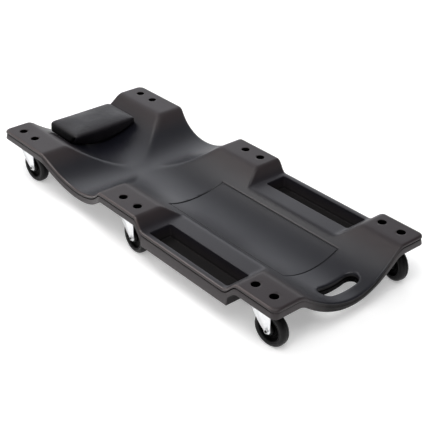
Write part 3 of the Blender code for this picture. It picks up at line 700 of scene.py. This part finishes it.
def buildPad():
    pick(frame["nodes"]["headrest_cushion"])
    bpy.ops.object.duplicate()
    pad = started("headrest_pad")
    for key in [key for key in pad.keys() if key.startswith("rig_")]:
        del pad[key]
    pad.parent = None
    cleaned(pad)
    edit(pad)
    bpy.ops.transform.shrink_fatten(value=-padSet["drawIn"])
    leaveEdit()
    pad.data.remesh_voxel_size = padSet["voxel"]
    bpy.ops.object.voxel_remesh()
    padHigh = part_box("headrest_cushion")[1]
    boardLow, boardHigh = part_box("headrest_board")
    margin = padSet["boardMargin"]
    underside = []
    for point in pad.data.vertices:
        x, y, z = point.co
        overBoard = boardLow.x - margin < x < boardHigh.x + margin and abs(y) < boardHigh.y + margin
        inRecess = overBoard and z < boardHigh.z + padSet["recessHeight"]
        if point.normal.z < padSet["heldNormal"] or inRecess:
            underside.append(point.index)
    pad.vertex_groups.new(name="held").add(underside, 1, "REPLACE")
    stuffed(pad)
    applied(pad, "SMOOTH", factor=padSet["smoothShare"], iterations=padSet["smoothing"])
    applied(pad, "SUBSURF", levels=1, render_levels=1)
    for point in pad.data.vertices:
        point.co.z = min(point.co.z, padHigh.z + padSet["mostRise"])
    smoothed(pad, angle=180)
    # painted shade on the pad's ends: full on faces turned sideways and down, fading to none on faces turned
    # up
    side = pointValues(pad, "side")[0]
    for point in pad.data.vertices:
        if abs(point.normal.y) > abs(point.normal.x):
            side[point.index].value = ease(*padSet["sideShade"], point.normal.z)
    pad.vertex_groups.clear()
    return pad


pad = buildPad()
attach(pad, "deck")
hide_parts("headrest_cushion")
print("headrest pad:", len(pad.data.polygons), "faces")


# casters, modelled once at the swivel's axis with the wheel trailing along X

casterSet = {"trail": 0.021, "wheelSteps": 96, "raceSteps": 64, "nutSteps": 48, "boltSteps": 36}
forkSet = {
    "outer": 0.01475, "gauge": 0.0022, "edgeRound": 0.0004, "fold": 0.0036, "foldSteps": 6,
    "back": 0.019, "sweep": 0.020, "sweepSteps": 24, "eye": 0.008, "eyeTurn": 215, "eyeSteps": 20,
    "rimWidth": 0.0024, "rimSlope": 0.0008, "rise": 0.0005,
    "axleBore": 0.0034, "axleCut": 0.03, "pinBore": 0.0054, "pinCut": 0.01,
}
wheelSet = {
    "radius": 0.040, "halfWidth": 0.0115, "rim": 0.026, "web": 0.005,
    "hubRadius": 0.011, "halfHub": 0.01225, "bore": 0.0034,
    "hubEdge": ((-0.0012, 0), (-0.0004, -0.0003), (0, -0.0011)),
    "hubFoot": ((0.0008, 0.0016), (0.0018, 0.0003), (0.0032, 0), (0.0050, 0), (0.0058, 0.0010),
                (0.0074, 0.0010), (0.0082, 0)),
    "rimFoot": ((-0.0030, 0), (-0.0014, 0.0004), (-0.0004, 0.0016)),
    "rimEdge": ((0.0006, -0.0022), (0.0008, -0.0010), (0.0014, -0.0003), (0.0024, -0.0003),
                (0.0030, -0.0012), (0.0036, -0.0012), (0.0042, -0.0002), (0.0052, 0)),
    "tread": ((-0.0060, -0.0002), (-0.0042, -0.0009), (-0.0026, -0.0021), (-0.0013, -0.0037),
              (-0.0005, -0.0053), (-0.0001, -0.0068), (0, -0.0078), (-0.0008, -0.0083),
              (-0.0008, -0.0091), (0, -0.0096)),
    "tyreFade": (-0.0002, 0.0008), "hollowEnd": 0.0010, "hollowDepth": (0.0005, 0.0040),
}
raceSet = {
    "cup": ((-0.0042, 0), (-0.0022, -0.0004), (-0.0008, -0.0012), (-0.0002, -0.0022)),
    "seam": ((-0.0003, 0.0005), (-0.0012, 0.0003), (-0.0022, 0)),
}
kingpinSet = {
    "shank": 0.005, "headHeight": 0.0022, "end": ((-0.0004, 0), (0, -0.0004)),
    "shoulder": ((-0.0004, 0), (0, -0.0005)), "head": ((-0.0004, 0.0008), (-0.0014, 0.0003), (-0.0032, 0)),
    "dimple": ((0.0026, 0), (0.0020, 0.0006)),
}
axleSet = {
    "radius": 0.003, "headRadius": 0.006, "headHeight": 0.003, "end": 0.0008, "seatGap": 0.0003,
    "dimple": ((0.0008, 0.0012), (0.0015, 0.0011), (0.0019, 0.0002), (0.0022, 0)),
    "tip": ((-0.0004, 0), (0, 0.0004)),
    "head": ((-0.0003, 0), (0, 0.0003), (-0.0001, 0.0009), (-0.0007, 0.0018)),
    "crown": ((-0.0018, -0.0005), (-0.0034, -0.0001)), "crownFlat": 0.0008,
}
nutSet = {
    "radius": 0.0062, "height": 0.0038, "hexInset": 0.0006, "flats": (0.0011, 0.0008),
    "flange": ((-0.0002, 0), (0, 0.0002), (0, 0.0006), (-0.0003, 0.0009)),
    "crown": ((-0.0009, -0.0002), (-0.0014, 0)), "mouth": ((0.0005, 0), (0, -0.0005)),
}
screwSet = {
    "shank": 0.003, "headHeight": 0.004, "tip": ((-0.0005, 0), (0, 0.0005)),
    "head": ((-0.0003, 0), (0, 0.0004), (-0.0002, 0.0014), (-0.0010, 0.0027)),
    "crown": ((-0.0022, -0.0005),), "crownFlat": 0.0038, "socket": ((0.0031, -0.0002), (0.0029, -0.0020)),
}

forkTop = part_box("fork_mid_left")[1].z
forkOuter = forkSet["outer"]
axleSeat = forkOuter + axleSet["seatGap"]
wheelHeight = jointPlaces["roll_mid_left"].z
toAxle = Matrix.Translation((casterSet["trail"], 0, wheelHeight)) @ Matrix.Rotation(math.pi / 2, 4, "X")


def roundSize(node):
    # lowest and highest level of a round node, and its radius
    low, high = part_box(node)
    return low.z, high.z, (high.x - low.x) / 2


def rod(name, radius, low, high):
    return loft(name, turnedLoops([(radius, low), (radius, high)], casterSet["boltSteps"]))


def sixSided(radius, angle):
    turn = (angle % (math.pi / 3)) - math.pi / 6
    return radius * math.cos(math.pi / 6) / math.cos(turn)


def buildWheel():
    radius, half, hub = wheelSet["radius"], wheelSet["halfWidth"], wheelSet["halfHub"]
    hubRadius, web, rim = wheelSet["hubRadius"], wheelSet["web"], wheelSet["rim"]
    side = [(wheelSet["bore"], hub)] + stepped(hubRadius, hub, wheelSet["hubEdge"])
    side += stepped(hubRadius, web, wheelSet["hubFoot"]) + stepped(rim, web, wheelSet["rimFoot"])
    side += stepped(rim, half, wheelSet["rimEdge"]) + stepped(radius, half, wheelSet["tread"])
    profile = side + [(reach, -out) for reach, out in reversed(side)] + side[:1]
    wheel = loft("wheel_moulding", turnedLoops(profile, casterSet["wheelSteps"]), capped=False)
    tyre, hollowShade = pointValues(wheel, "tyre", "hollowShade")
    fadeStart, fadeEnd = wheelSet["tyreFade"]
    for point in wheel.data.vertices:
        reach = math.hypot(point.co.x, point.co.y)
        tyre[point.index].value = ease(rim + fadeStart, rim + fadeEnd, reach)
        # painted shade in the hub's hollow, stronger further in
        sunk = ease(*wheelSet["hollowDepth"], half - abs(point.co.z))
        hollowShade[point.index].value = sunk if reach < rim + wheelSet["hollowEnd"] else 0
    wheel.data.transform(toAxle)
    smoothed(wheel, angle=35)
    return wheel


def forkOutline():
    eye = Vector((casterSet["trail"], wheelHeight))
    radius = forkSet["eye"]
    backTop = Vector((-forkSet["back"], forkTop - forkSet["fold"]))
    bend = Vector((-forkSet["back"], forkTop - forkSet["sweep"]))
    eyeTurn = math.radians(forkSet["eyeTurn"])
    eyeBack = eye + radius * Vector((math.cos(eyeTurn), math.sin(eyeTurn)))
    points = [Vector((eye.x + radius, backTop.y))]
    for step in range(forkSet["sweepSteps"]):
        t = step / forkSet["sweepSteps"]
        points.append(backTop * (1 - t) ** 2 + bend * 2 * t * (1 - t) + eyeBack * t * t)
    for step in range(forkSet["eyeSteps"] + 1):
        angle = eyeTurn + (2 * math.pi - eyeTurn) * step / forkSet["eyeSteps"]
        points.append(eye + radius * Vector((math.cos(angle), math.sin(angle))))
    return points


def buildFork():
    # one leg is cut out flat, folded over at the top, mirrored and given its gauge
    outline = forkOutline()
    fold, foldSteps = forkSet["fold"], forkSet["foldSteps"]
    fork = startRing("fork_pressing", [Vector((spot.x, -forkOuter, spot.y)) for spot in outline], True)
    edit(fork, "VERT", "DESELECT")
    leaveEdit()
    for point in fork.data.vertices[:2]:
        point.select = True
    turns = [math.pi / (2 * foldSteps) * step for step in range(1, foldSteps + 1)]
    edges = [(fold * (1 - math.cos(turn)), fold * math.sin(turn)) for turn in turns]
    for inward, upward in edges + [(forkOuter, fold)]:
        drawOut(fork, lambda tag: Vector((outline[tag].x, inward - forkOuter, forkTop - fold + upward)))
    edit(fork, "FACE", "DESELECT")
    leaveEdit()
    for face in fork.data.polygons:
        face.select = len(face.vertices) > 4  # the leg's flat, as the fold is all four-sided
    bpy.ops.object.mode_set(mode="EDIT")
    bpy.ops.mesh.inset(thickness=forkSet["rimWidth"], depth=0)
    bpy.ops.mesh.inset(thickness=forkSet["rimSlope"], depth=forkSet["rise"])
    leaveEdit()
    applied(fork, "MIRROR", use_axis=(False, True, False), merge_threshold=0.00001)
    cleaned(fork)
    leg = min(fork.data.polygons, key=lambda face: face.center.y)
    if leg.normal.y > 0:
        edit(fork)
        bpy.ops.mesh.flip_normals()
        leaveEdit()
    applied(fork, "SOLIDIFY", thickness=forkSet["gauge"], offset=-1)
    axleBore = rod("axle_bore", forkSet["axleBore"], -forkSet["axleCut"], forkSet["axleCut"])
    axleBore.data.transform(toAxle)
    carved(fork, axleBore)
    pinCut = forkSet["pinCut"]
    carved(fork, rod("pin_bore", forkSet["pinBore"], forkTop - pinCut, forkTop + pinCut))
    applied(fork, "BEVEL", width=forkSet["edgeRound"], segments=2, limit_method="ANGLE",
            angle_limit=math.radians(50))
    cleaned(fork, weld=0.000005)
    untag(fork)
    smoothed(fork, angle=35)
    return fork


def buildRace():
    low, high, reach = roundSize("swivel_race_mid_left")
    middle = (low + high) / 2
    cup = [(forkSet["pinBore"], high)] + stepped(reach, high, raceSet["cup"])
    cup += stepped(reach, middle, raceSet["seam"])
    profile = cup + [(radius, 2 * middle - height) for radius, height in reversed(cup[:-1])] + cup[:1]
    race = loft("race_cups", turnedLoops(profile, casterSet["raceSteps"]), capped=False)
    smoothed(race, angle=30)
    return race


def buildKingpin():
    low, high, head = roundSize("kingpin_mid_left")
    shank = kingpinSet["shank"]
    seat = low + kingpinSet["headHeight"]
    profile = stepped(shank, high, kingpinSet["end"]) + [(shank, seat)]
    profile += stepped(head, seat, kingpinSet["shoulder"]) + stepped(head, low, kingpinSet["head"])
    profile += stepped(0, low, kingpinSet["dimple"])
    pin = loft("kingpin_rivet", turnedLoops(profile, casterSet["boltSteps"]))
    smoothed(pin, angle=40)
    return pin


def buildAxleBolt():
    tip = -axleSeat - nutSet["height"] - axleSet["end"]
    top = axleSeat + axleSet["headHeight"]
    radius, head = axleSet["radius"], axleSet["headRadius"]
    profile = stepped(0, tip, axleSet["dimple"]) + stepped(radius, tip, axleSet["tip"])
    profile += [(radius, axleSeat)] + stepped(head, axleSeat, axleSet["head"])
    profile += stepped(head, top, axleSet["crown"]) + [(axleSet["crownFlat"], top)]
    bolt = loft("axle_rivet", [[Vector((p.x, p.y, -p.z)) for p in loop]
                               for loop in turnedLoops(profile, casterSet["boltSteps"])])
    bolt.data.transform(toAxle)
    smoothed(bolt, angle=40)
    return bolt


def buildAxleNut():
    height, reach, bore = nutSet["height"], nutSet["radius"], forkSet["axleBore"]
    hexReach = reach - nutSet["hexInset"]
    flatStart, flatEnd = nutSet["flats"]
    rounds = [(bore, 0)] + stepped(reach, 0, nutSet["flange"])
    flats = [(hexReach, flatStart), (hexReach, height - flatEnd)]
    crown = stepped(hexReach, height, nutSet["crown"]) + stepped(bore, height, nutSet["mouth"]) + [(bore, 0)]
    steps = casterSet["nutSteps"]
    loops = turnedLoops(rounds, steps) + turnedLoops(flats, steps, sixSided) + turnedLoops(crown, steps)
    for loop in loops:
        for point in loop:
            point.z += axleSeat
    nut = loft("axle_locknut", loops, capped=False)
    nut.data.transform(toAxle)
    smoothed(nut, angle=30)
    return nut


def buildPlateScrew():
    low, top, head = roundSize("plate_bolt_1_mid_left")
    seat = top - screwSet["headHeight"]
    shank = screwSet["shank"]
    rounds = stepped(shank, low, screwSet["tip"]) + [(shank, seat)] + stepped(head, seat, screwSet["head"])
    rounds += stepped(head, top, screwSet["crown"]) + [(screwSet["crownFlat"], top)]
    socket = stepped(0, top, screwSet["socket"])
    steps = casterSet["boltSteps"]
    screw = loft("plate_screw", turnedLoops(rounds, steps) + turnedLoops(socket, steps, sixSided))
    smoothed(screw, angle=35)
    return screw


casterModels = {
    "fork": (buildFork(), "fork_pressing", "swivel", "bright_zinc"),
    "swivel_race": (buildRace(), "race_cups", "swivel", "plated_steel"),
    "axle_bolt": (buildAxleBolt(), "axle_rivet", "swivel", "bright_zinc"),
    "axle_nut": (buildAxleNut(), "axle_locknut", "swivel", "bright_zinc"),
    "wheel": (buildWheel(), "wheel_moulding", "wheel", "wheel_black"),
    "kingpin": (buildKingpin(), "kingpin_rivet", "deck", "plated_steel"),
}
plateScrew = buildPlateScrew()
casterPieces = {node: [] for node in [*casterModels, "plate_bolt"]}
for place in casterNames:
    swivel = jointPlaces[f"swivel_{place}"]
    trail = jointPlaces[f"roll_{place}"] - swivel
    turn = Matrix.Rotation(math.atan2(trail.y, trail.x), 4, "Z")
    atSwivel = Matrix.Translation((swivel.x, swivel.y, 0))
    for node, (model, name, body, slot) in casterModels.items():
        piece = copied(model, f"{name}_{place}", atSwivel @ turn)
        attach(piece, "deck" if body == "deck" else f"{body}_{place}")
        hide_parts(f"{node}_{place}")
        casterPieces[node].append(piece)
    for number, along in ((1, -0.5), (2, 0.5)):
        spot = Matrix.Translation((swivel.x + along * wellSet["pitch"], swivel.y, 0))
        piece = copied(plateScrew, f"plate_screw_{number}_{place}", spot)
        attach(piece, "deck")
        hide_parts(f"plate_bolt_{number}_{place}")
        casterPieces["plate_bolt"].append(piece)
for model in [plateScrew, *(entry[0] for entry in casterModels.values())]:
    bpy.data.objects.remove(model, do_unlink=True)
print("casters:", sum(len(pieces) for pieces in casterPieces.values()), "pieces")


# nodes and the shader groups that the finishes share

def addNode(tree, kind, values, **settings):
    made = tree.nodes.new(kind)
    for setting, value in settings.items():
        setattr(made, setting, value)
    for socket, value in values.items():
        if isinstance(value, bpy.types.NodeSocket):
            tree.links.new(value, made.inputs[socket])
        else:
            made.inputs[socket].default_value = value
    return made


def newGroup(name, inputs, outputs):
    group = bpy.data.node_groups.new(name, "ShaderNodeTree")
    for socket, value in inputs.items():
        made = group.interface.new_socket(socket, in_out="INPUT", socket_type="NodeSocketFloat")
        made.default_value = value
    for socket in outputs:
        group.interface.new_socket(socket, in_out="OUTPUT", socket_type="NodeSocketFloat")
    return group, group.nodes.new("NodeGroupInput").outputs, group.nodes.new("NodeGroupOutput").inputs


def remap(tree, value, low, high, newLow, newHigh):
    return addNode(tree, "ShaderNodeMapRange", {"Value": value, "From Min": low, "From Max": high,
                                                "To Min": newLow, "To Max": newHigh}).outputs["Result"]


def maths(tree, operation, first, second):
    return addNode(tree, "ShaderNodeMath", {0: first, 1: second}, operation=operation).outputs[0]


def plus(tree, base, value, factor):
    made = addNode(tree, "ShaderNodeMath", {0: value, 1: factor, 2: base}, operation="MULTIPLY_ADD")
    return made.outputs[0]


def mixed(tree, share, first, second):
    return addNode(tree, "ShaderNodeMix", {0: share, 6: first, 7: second}, data_type="RGBA").outputs[2]


def painted(tree, *names):
    # the numbers that pointValues laid on a piece
    return [addNode(tree, "ShaderNodeAttribute", {}, attribute_name=name).outputs["Fac"] for name in names]


def objectSpots(tree):
    return addNode(tree, "ShaderNodeTexCoord", {}).outputs["Object"]


def noise(tree, spots, scale, **more):
    return addNode(tree, "ShaderNodeTexNoise", {"Vector": spots, "Scale": scale, **more}).outputs[0]


def makeMouldGrain():
    # spark-eroded mould skin: fine grain for the bump, soft patches for tone and gloss
    group, given, result = newGroup("mouldGrain", {"Grain": 1100, "Patch": 9}, ("Height", "Patches"))
    spots = objectSpots(group)
    patch = noise(group, spots, given["Patch"], Detail=4, Roughness=0.55)
    group.links.new(noise(group, spots, given["Grain"], Detail=3, Roughness=0.6), result["Height"])
    group.links.new(remap(group, patch, 0.3, 0.7, 0, 1), result["Patches"])
    return group


def makeMetalSkin():
    # rolled and plated sheet: crystal patches, hairline drawing marks
    group, given, result = newGroup("metalSkin", {"Crystal": 260, "Hairline": 900}, ("Crystals", "Hairlines"))
    spots = objectSpots(group)
    crystal = addNode(group, "ShaderNodeTexVoronoi", {"Vector": spots, "Scale": given["Crystal"]})
    tone = addNode(group, "ShaderNodeSeparateColor", {"Color": crystal.outputs["Color"]})
    drawn = addNode(group, "ShaderNodeMapping", {"Vector": spots, "Scale": (1, 1, 0.06)})
    group.links.new(tone.outputs[0], result["Crystals"])
    group.links.new(noise(group, drawn.outputs[0], given["Hairline"], Detail=2), result["Hairlines"])
    return group


def newMaterial(name, metallic=0, specular=0.5):
    material = bpy.data.materials.new(name)
    material.use_nodes = True
    shader = material.node_tree.nodes["Principled BSDF"]
    shader.inputs["Metallic"].default_value = metallic
    shader.inputs["Specular IOR Level"].default_value = specular
    return material, material.node_tree, shader


def placed(tree, group, **values):
    made = addNode(tree, "ShaderNodeGroup", {}, node_tree=group)
    for socket, value in values.items():
        made.inputs[socket].default_value = value
    return made.outputs


def bumped(tree, height, strength, distance):
    values = {"Height": height, "Strength": strength, "Distance": distance}
    return addNode(tree, "ShaderNodeBump", values).outputs[0]


def wire(tree, shader, color, roughness, normal, metallic=None):
    for socket, value in (("Base Color", color), ("Roughness", roughness), ("Normal", normal)):
        tree.links.new(value, shader.inputs[socket])
    if metallic:
        tree.links.new(metallic, shader.inputs["Metallic"])


mouldGrain = makeMouldGrain()
metalSkin = makeMetalSkin()

deckFinish = {
    "padDark": (0.0165, 0.0116, 0.0132, 1), "padLight": (0.0206, 0.0149, 0.0168, 1),
    "bedDark": (0.0060, 0.0062, 0.0096, 1), "bedLight": (0.0085, 0.0086, 0.0130, 1),
    # the light edge colour is a painted highlight for the lips and rims; the near-black colour is painted
    # shade, which Metallic takes to black over the given range
    "edge": (0.092, 0.075, 0.074, 1), "paintedShade": (0.0012, 0.0012, 0.0012, 1), "paintedShadeBlack": (0.7, 1.0),
    "specular": 0.38, "padRoughness": 0.43, "bedRoughness": 0.29, "patchRoughness": 0.06,
    "panelRoughness": 0.05, "edgePolish": -0.24, "paintedShadeRoughness": 0.30,
    "grain": 1300, "patch": 8, "bump": (0.22, 0.0004),
}


def makeDeckPlastic():
    material, tree, shader = newMaterial("deckPlastic", specular=deckFinish["specular"])
    skin = placed(tree, mouldGrain, Grain=deckFinish["grain"], Patch=deckFinish["patch"])
    edge, panel, bed, paintedShade = painted(tree, "edge", "panel", "bed", "paintedShade")
    padTone = mixed(tree, skin["Patches"], deckFinish["padDark"], deckFinish["padLight"])
    bedTone = mixed(tree, skin["Patches"], deckFinish["bedDark"], deckFinish["bedLight"])
    # a painted highlight along the lips and the panel's side rims
    body = mixed(tree, edge, mixed(tree, bed, padTone, bedTone), deckFinish["edge"])
    # painted shade: near-black in the hollows, grooves, underside and foot band
    color = mixed(tree, paintedShade, body, deckFinish["paintedShade"])
    gloss = remap(tree, bed, 0, 1, deckFinish["padRoughness"], deckFinish["bedRoughness"])
    gloss = plus(tree, gloss, skin["Patches"], deckFinish["patchRoughness"])
    gloss = plus(tree, gloss, panel, deckFinish["panelRoughness"])
    gloss = plus(tree, gloss, edge, deckFinish["edgePolish"])
    gloss = plus(tree, gloss, paintedShade, deckFinish["paintedShadeRoughness"])
    # Metallic takes the strongest painted shade to black
    dark = remap(tree, paintedShade, *deckFinish["paintedShadeBlack"], 0, 1)
    wire(tree, shader, color, gloss, bumped(tree, skin["Height"], *deckFinish["bump"]), dark)
    return material


vinylFinish = {
    "dark": (0.0052, 0.0044, 0.0061, 1), "light": (0.0096, 0.0082, 0.0108, 1),
    # the side colour is the near-black painted shade for the pad's ends
    "side": (0.0012, 0.0012, 0.0014, 1), "specular": 0.30, "roughness": (0.34, 0.52),
    "grain": 1500, "patch": 16, "pebble": 620, "pebbleHeight": 0.7, "crease": 70, "creaseHeight": 1.4,
    "bump": (0.45, 0.0008),
}


def makeVinyl():
    material, tree, shader = newMaterial("blackVinyl", specular=vinylFinish["specular"])
    side = painted(tree, "side")[0]
    spots = objectSpots(tree)
    skin = placed(tree, mouldGrain, Grain=vinylFinish["grain"], Patch=vinylFinish["patch"])
    pebble = addNode(tree, "ShaderNodeTexVoronoi", {"Vector": spots, "Scale": vinylFinish["pebble"]})
    crease = noise(tree, spots, vinylFinish["crease"], Detail=5, Distortion=0.6)
    height = maths(tree, "MULTIPLY", pebble.outputs["Distance"], vinylFinish["pebbleHeight"])
    height = plus(tree, height, crease, vinylFinish["creaseHeight"])
    body = mixed(tree, skin["Patches"], vinylFinish["dark"], vinylFinish["light"])
    # painted shade on the ends, which Metallic also takes to black
    color = mixed(tree, side, body, vinylFinish["side"])
    gloss = remap(tree, skin["Patches"], 0, 1, *vinylFinish["roughness"])
    wire(tree, shader, color, gloss, bumped(tree, height, *vinylFinish["bump"]), side)
    return material


metalFinish = {
    "brightZinc": {"dark": (0.72, 0.73, 0.75, 1), "light": (0.82, 0.825, 0.83, 1),
                   "roughness": (0.28, 0.42), "crystal": 300},
    "platedSteel": {"dark": (0.34, 0.34, 0.35, 1), "light": (0.46, 0.46, 0.47, 1),
                    "roughness": (0.30, 0.46), "crystal": 500},
    "blackenedSteel": {"dark": (0.010, 0.010, 0.010, 1), "light": (0.022, 0.021, 0.020, 1),
                       "roughness": (0.42, 0.56), "crystal": 500},
}


def makeMetal(name):
    finish = metalFinish[name]
    material, tree, shader = newMaterial(name, metallic=1)
    skin = placed(tree, metalSkin, Crystal=finish["crystal"])
    color = mixed(tree, skin["Crystals"], finish["dark"], finish["light"])
    tone = plus(tree, maths(tree, "MULTIPLY", skin["Crystals"], 0.5), skin["Hairlines"], 0.5)
    gloss = remap(tree, tone, 0.2, 0.8, *finish["roughness"])
    wire(tree, shader, color, gloss, bumped(tree, skin["Hairlines"], strength=0.08, distance=0.0002))
    return material


wheelFinish = {
    "hub": (0.0055, 0.0055, 0.0060, 1), "tyre": (0.0036, 0.0034, 0.0039, 1),
    "worn": (0.0066, 0.0063, 0.0069, 1), "wornShare": 0.5,
    # the hollow colour and its Metallic range are painted shade in the hub's hollow
    "hollowShade": (0.0012, 0.0012, 0.0012, 1), "hollowShadeBlack": (0.5, 1.0), "specular": 0.17,
    "hubRoughness": 0.30, "tyreRoughness": 0.34, "patchRoughness": 0.08, "hollowShadeRoughness": 0.30,
    "grain": 1700, "patch": 60, "bump": (0.20, 0.0004),
}


def makeWheelBlack():
    material, tree, shader = newMaterial("wheelBlack", specular=wheelFinish["specular"])
    skin = placed(tree, mouldGrain, Grain=wheelFinish["grain"], Patch=wheelFinish["patch"])
    tyre, hollowShade = painted(tree, "tyre", "hollowShade")
    worn = maths(tree, "MULTIPLY", skin["Patches"], wheelFinish["wornShare"])
    rubber = mixed(tree, worn, wheelFinish["tyre"], wheelFinish["worn"])
    # painted shade in the hub's hollow, which Metallic takes to black
    color = mixed(tree, hollowShade, mixed(tree, tyre, wheelFinish["hub"], rubber), wheelFinish["hollowShade"])
    gloss = remap(tree, tyre, 0, 1, wheelFinish["hubRoughness"], wheelFinish["tyreRoughness"])
    gloss = plus(tree, gloss, skin["Patches"], wheelFinish["patchRoughness"])
    gloss = plus(tree, gloss, hollowShade, wheelFinish["hollowShadeRoughness"])
    dark = remap(tree, hollowShade, *wheelFinish["hollowShadeBlack"], 0, 1)
    wire(tree, shader, color, gloss, bumped(tree, skin["Height"], *wheelFinish["bump"]), dark)
    return material


plywoodFinish = {
    "dark": (0.42, 0.27, 0.14, 1), "light": (0.66, 0.47, 0.28, 1), "roughness": (0.5, 0.7),
    "stretch": (6, 90, 300), "grain": 3, "bump": (0.15, 0.0004),
}


def makePlywood():
    material, tree, shader = newMaterial("plywood")
    stretch = {"Vector": objectSpots(tree), "Scale": plywoodFinish["stretch"]}
    along = addNode(tree, "ShaderNodeMapping", stretch).outputs[0]
    grain = noise(tree, along, plywoodFinish["grain"], Detail=6)
    color = mixed(tree, grain, plywoodFinish["dark"], plywoodFinish["light"])
    gloss = remap(tree, grain, 0.3, 0.7, *plywoodFinish["roughness"])
    wire(tree, shader, color, gloss, bumped(tree, grain, *plywoodFinish["bump"]))
    return material


finishes = {
    "deck_plastic": makeDeckPlastic(),
    "black_vinyl": makeVinyl(),
    "bright_zinc": makeMetal("brightZinc"),
    "plated_steel": makeMetal("platedSteel"),
    "blackened": makeMetal("blackenedSteel"),
    "wheel_black": makeWheelBlack(),
    "plywood": makePlywood(),
}


def dressed(piece, slot):
    piece.data.materials.clear()
    piece.data.materials.append(finishes[slot])


dressed(deck, "deck_plastic")
dressed(pad, "black_vinyl")
for node, pieces in casterPieces.items():
    for piece in pieces:
        dressed(piece, "blackened" if node in ("plate_bolt", "axle_bolt") else casterModels[node][3])
dressed(frame["nodes"]["headrest_board"], "plywood")
for number in (1, 2):
    dressed(frame["nodes"][f"headrest_screw_{number}"], "plated_steel")
for place in casterNames:
    dressed(frame["nodes"][f"caster_plate_{place}"], "bright_zinc")
print("finishes:", len(finishes))


# floor, world, lamps and camera

studioSet = {
    "floorSize": 40, "floorColor": (0.86, 0.86, 0.86, 1), "floorGlow": 0.32,
    "worldColor": (1, 1, 1, 1), "brightSide": (-0.80, -0.45, 0.40), "facing": (-0.5, 0.7),
    "worldDark": 0.12, "worldBright": 0.52, "horizon": 0.65, "horizonTop": 0.27,
}
lampAim = Vector((0, 0, 0.08))
lampSet = {
    "keyBox": {"place": (-1.9, -0.5, 3.0), "size": (1.3, 0.8), "power": 12, "color": (1.0, 0.985, 0.97)},
    "frontBox": {"place": (1.1, -2.3, 1.5), "size": (0.3, 0.22), "power": 8, "color": (1.0, 0.97, 0.95)},
    "backCard": {"place": (-1.8, 1.6, 1.2), "size": (2.6, 1.75), "power": 13, "color": (0.93, 0.955, 1.03)},
    "sideBox": {"place": (-0.62, -0.42, 1.00), "size": (0.7, 0.4), "power": 2.7, "color": (1.0, 0.97, 0.96)},
    "topBox": {"place": (1.4, -1.0, 3.5), "size": (2.6, 2.6), "power": 86, "color": (1.0, 1.0, 1.0)},
}
cameraSet = {"place": (1.6177, -1.2908, 1.2547), "tilt": 59.1337, "turn": 50.2080,
             "lens": 84.36, "sensor": 36}


def buildFloor():
    # white to the camera and in reflections, with the shadows kept
    bpy.ops.object.select_all(action="DESELECT")
    bpy.ops.mesh.primitive_plane_add(size=studioSet["floorSize"])
    floor = started("studio_floor")
    material = bpy.data.materials.new("paperSweep")
    material.use_nodes = True
    tree = material.node_tree
    tree.nodes.remove(tree.nodes["Principled BSDF"])
    path = addNode(tree, "ShaderNodeLightPath", {}).outputs
    mirrored = maths(tree, "MAXIMUM", path["Is Glossy Ray"], path["Is Transmission Ray"])
    seen = maths(tree, "MAXIMUM", path["Is Camera Ray"], mirrored)
    glowing = maths(tree, "MULTIPLY", seen, studioSet["floorGlow"])
    paper = addNode(tree, "ShaderNodeBsdfDiffuse", {"Color": studioSet["floorColor"]})
    glow = addNode(tree, "ShaderNodeEmission", {"Strength": glowing})
    both = addNode(tree, "ShaderNodeAddShader", {0: paper.outputs[0], 1: glow.outputs[0]})
    tree.links.new(both.outputs[0], tree.nodes["Material Output"].inputs["Surface"])
    floor.data.materials.append(material)


def buildWorld():
    # brighter towards one side, with a light band along the horizon
    world = bpy.data.worlds.new("studioWorld")
    bpy.context.scene.world = world
    world.use_nodes = True
    tree = world.node_tree
    towards = addNode(tree, "ShaderNodeTexCoord", {}).outputs["Generated"]
    facing = addNode(tree, "ShaderNodeVectorMath", {0: towards, 1: studioSet["brightSide"]},
                     operation="DOT_PRODUCT").outputs["Value"]
    level = remap(tree, facing, *studioSet["facing"], studioSet["worldDark"], studioSet["worldBright"])
    height = addNode(tree, "ShaderNodeSeparateXYZ", {"Vector": towards}).outputs["Z"]
    horizon = remap(tree, height, 0, studioSet["horizonTop"], studioSet["horizon"], 0)
    sky = tree.nodes["Background"]
    sky.inputs["Color"].default_value = studioSet["worldColor"]
    tree.links.new(maths(tree, "ADD", level, horizon), sky.inputs["Strength"])


def addLamp(name, place, size, power, color):
    lamp = bpy.data.lights.new(name, "AREA")
    lamp.shape = "RECTANGLE"
    lamp.size, lamp.size_y = size
    lamp.energy = power
    lamp.color = color
    holder = bpy.data.objects.new(name, lamp)
    holder.location = place
    holder.rotation_euler = (lampAim - Vector(place)).to_track_quat("-Z", "Y").to_euler()
    holder.visible_camera = False
    bpy.context.scene.collection.objects.link(holder)


def buildCamera():
    view = bpy.data.cameras.new("photoCamera")
    view.lens = cameraSet["lens"]
    view.sensor_width = cameraSet["sensor"]
    holder = bpy.data.objects.new("photoCamera", view)
    holder.location = cameraSet["place"]
    holder.rotation_euler = (math.radians(cameraSet["tilt"]), 0, math.radians(cameraSet["turn"]))
    bpy.context.scene.collection.objects.link(holder)
    bpy.context.scene.camera = holder


buildFloor()
buildWorld()
for name, lamp in lampSet.items():
    addLamp(name, **lamp)
buildCamera()
bpy.context.scene.view_settings.view_transform = "Standard"
print("studio ready:", len(lampSet), "lamps")
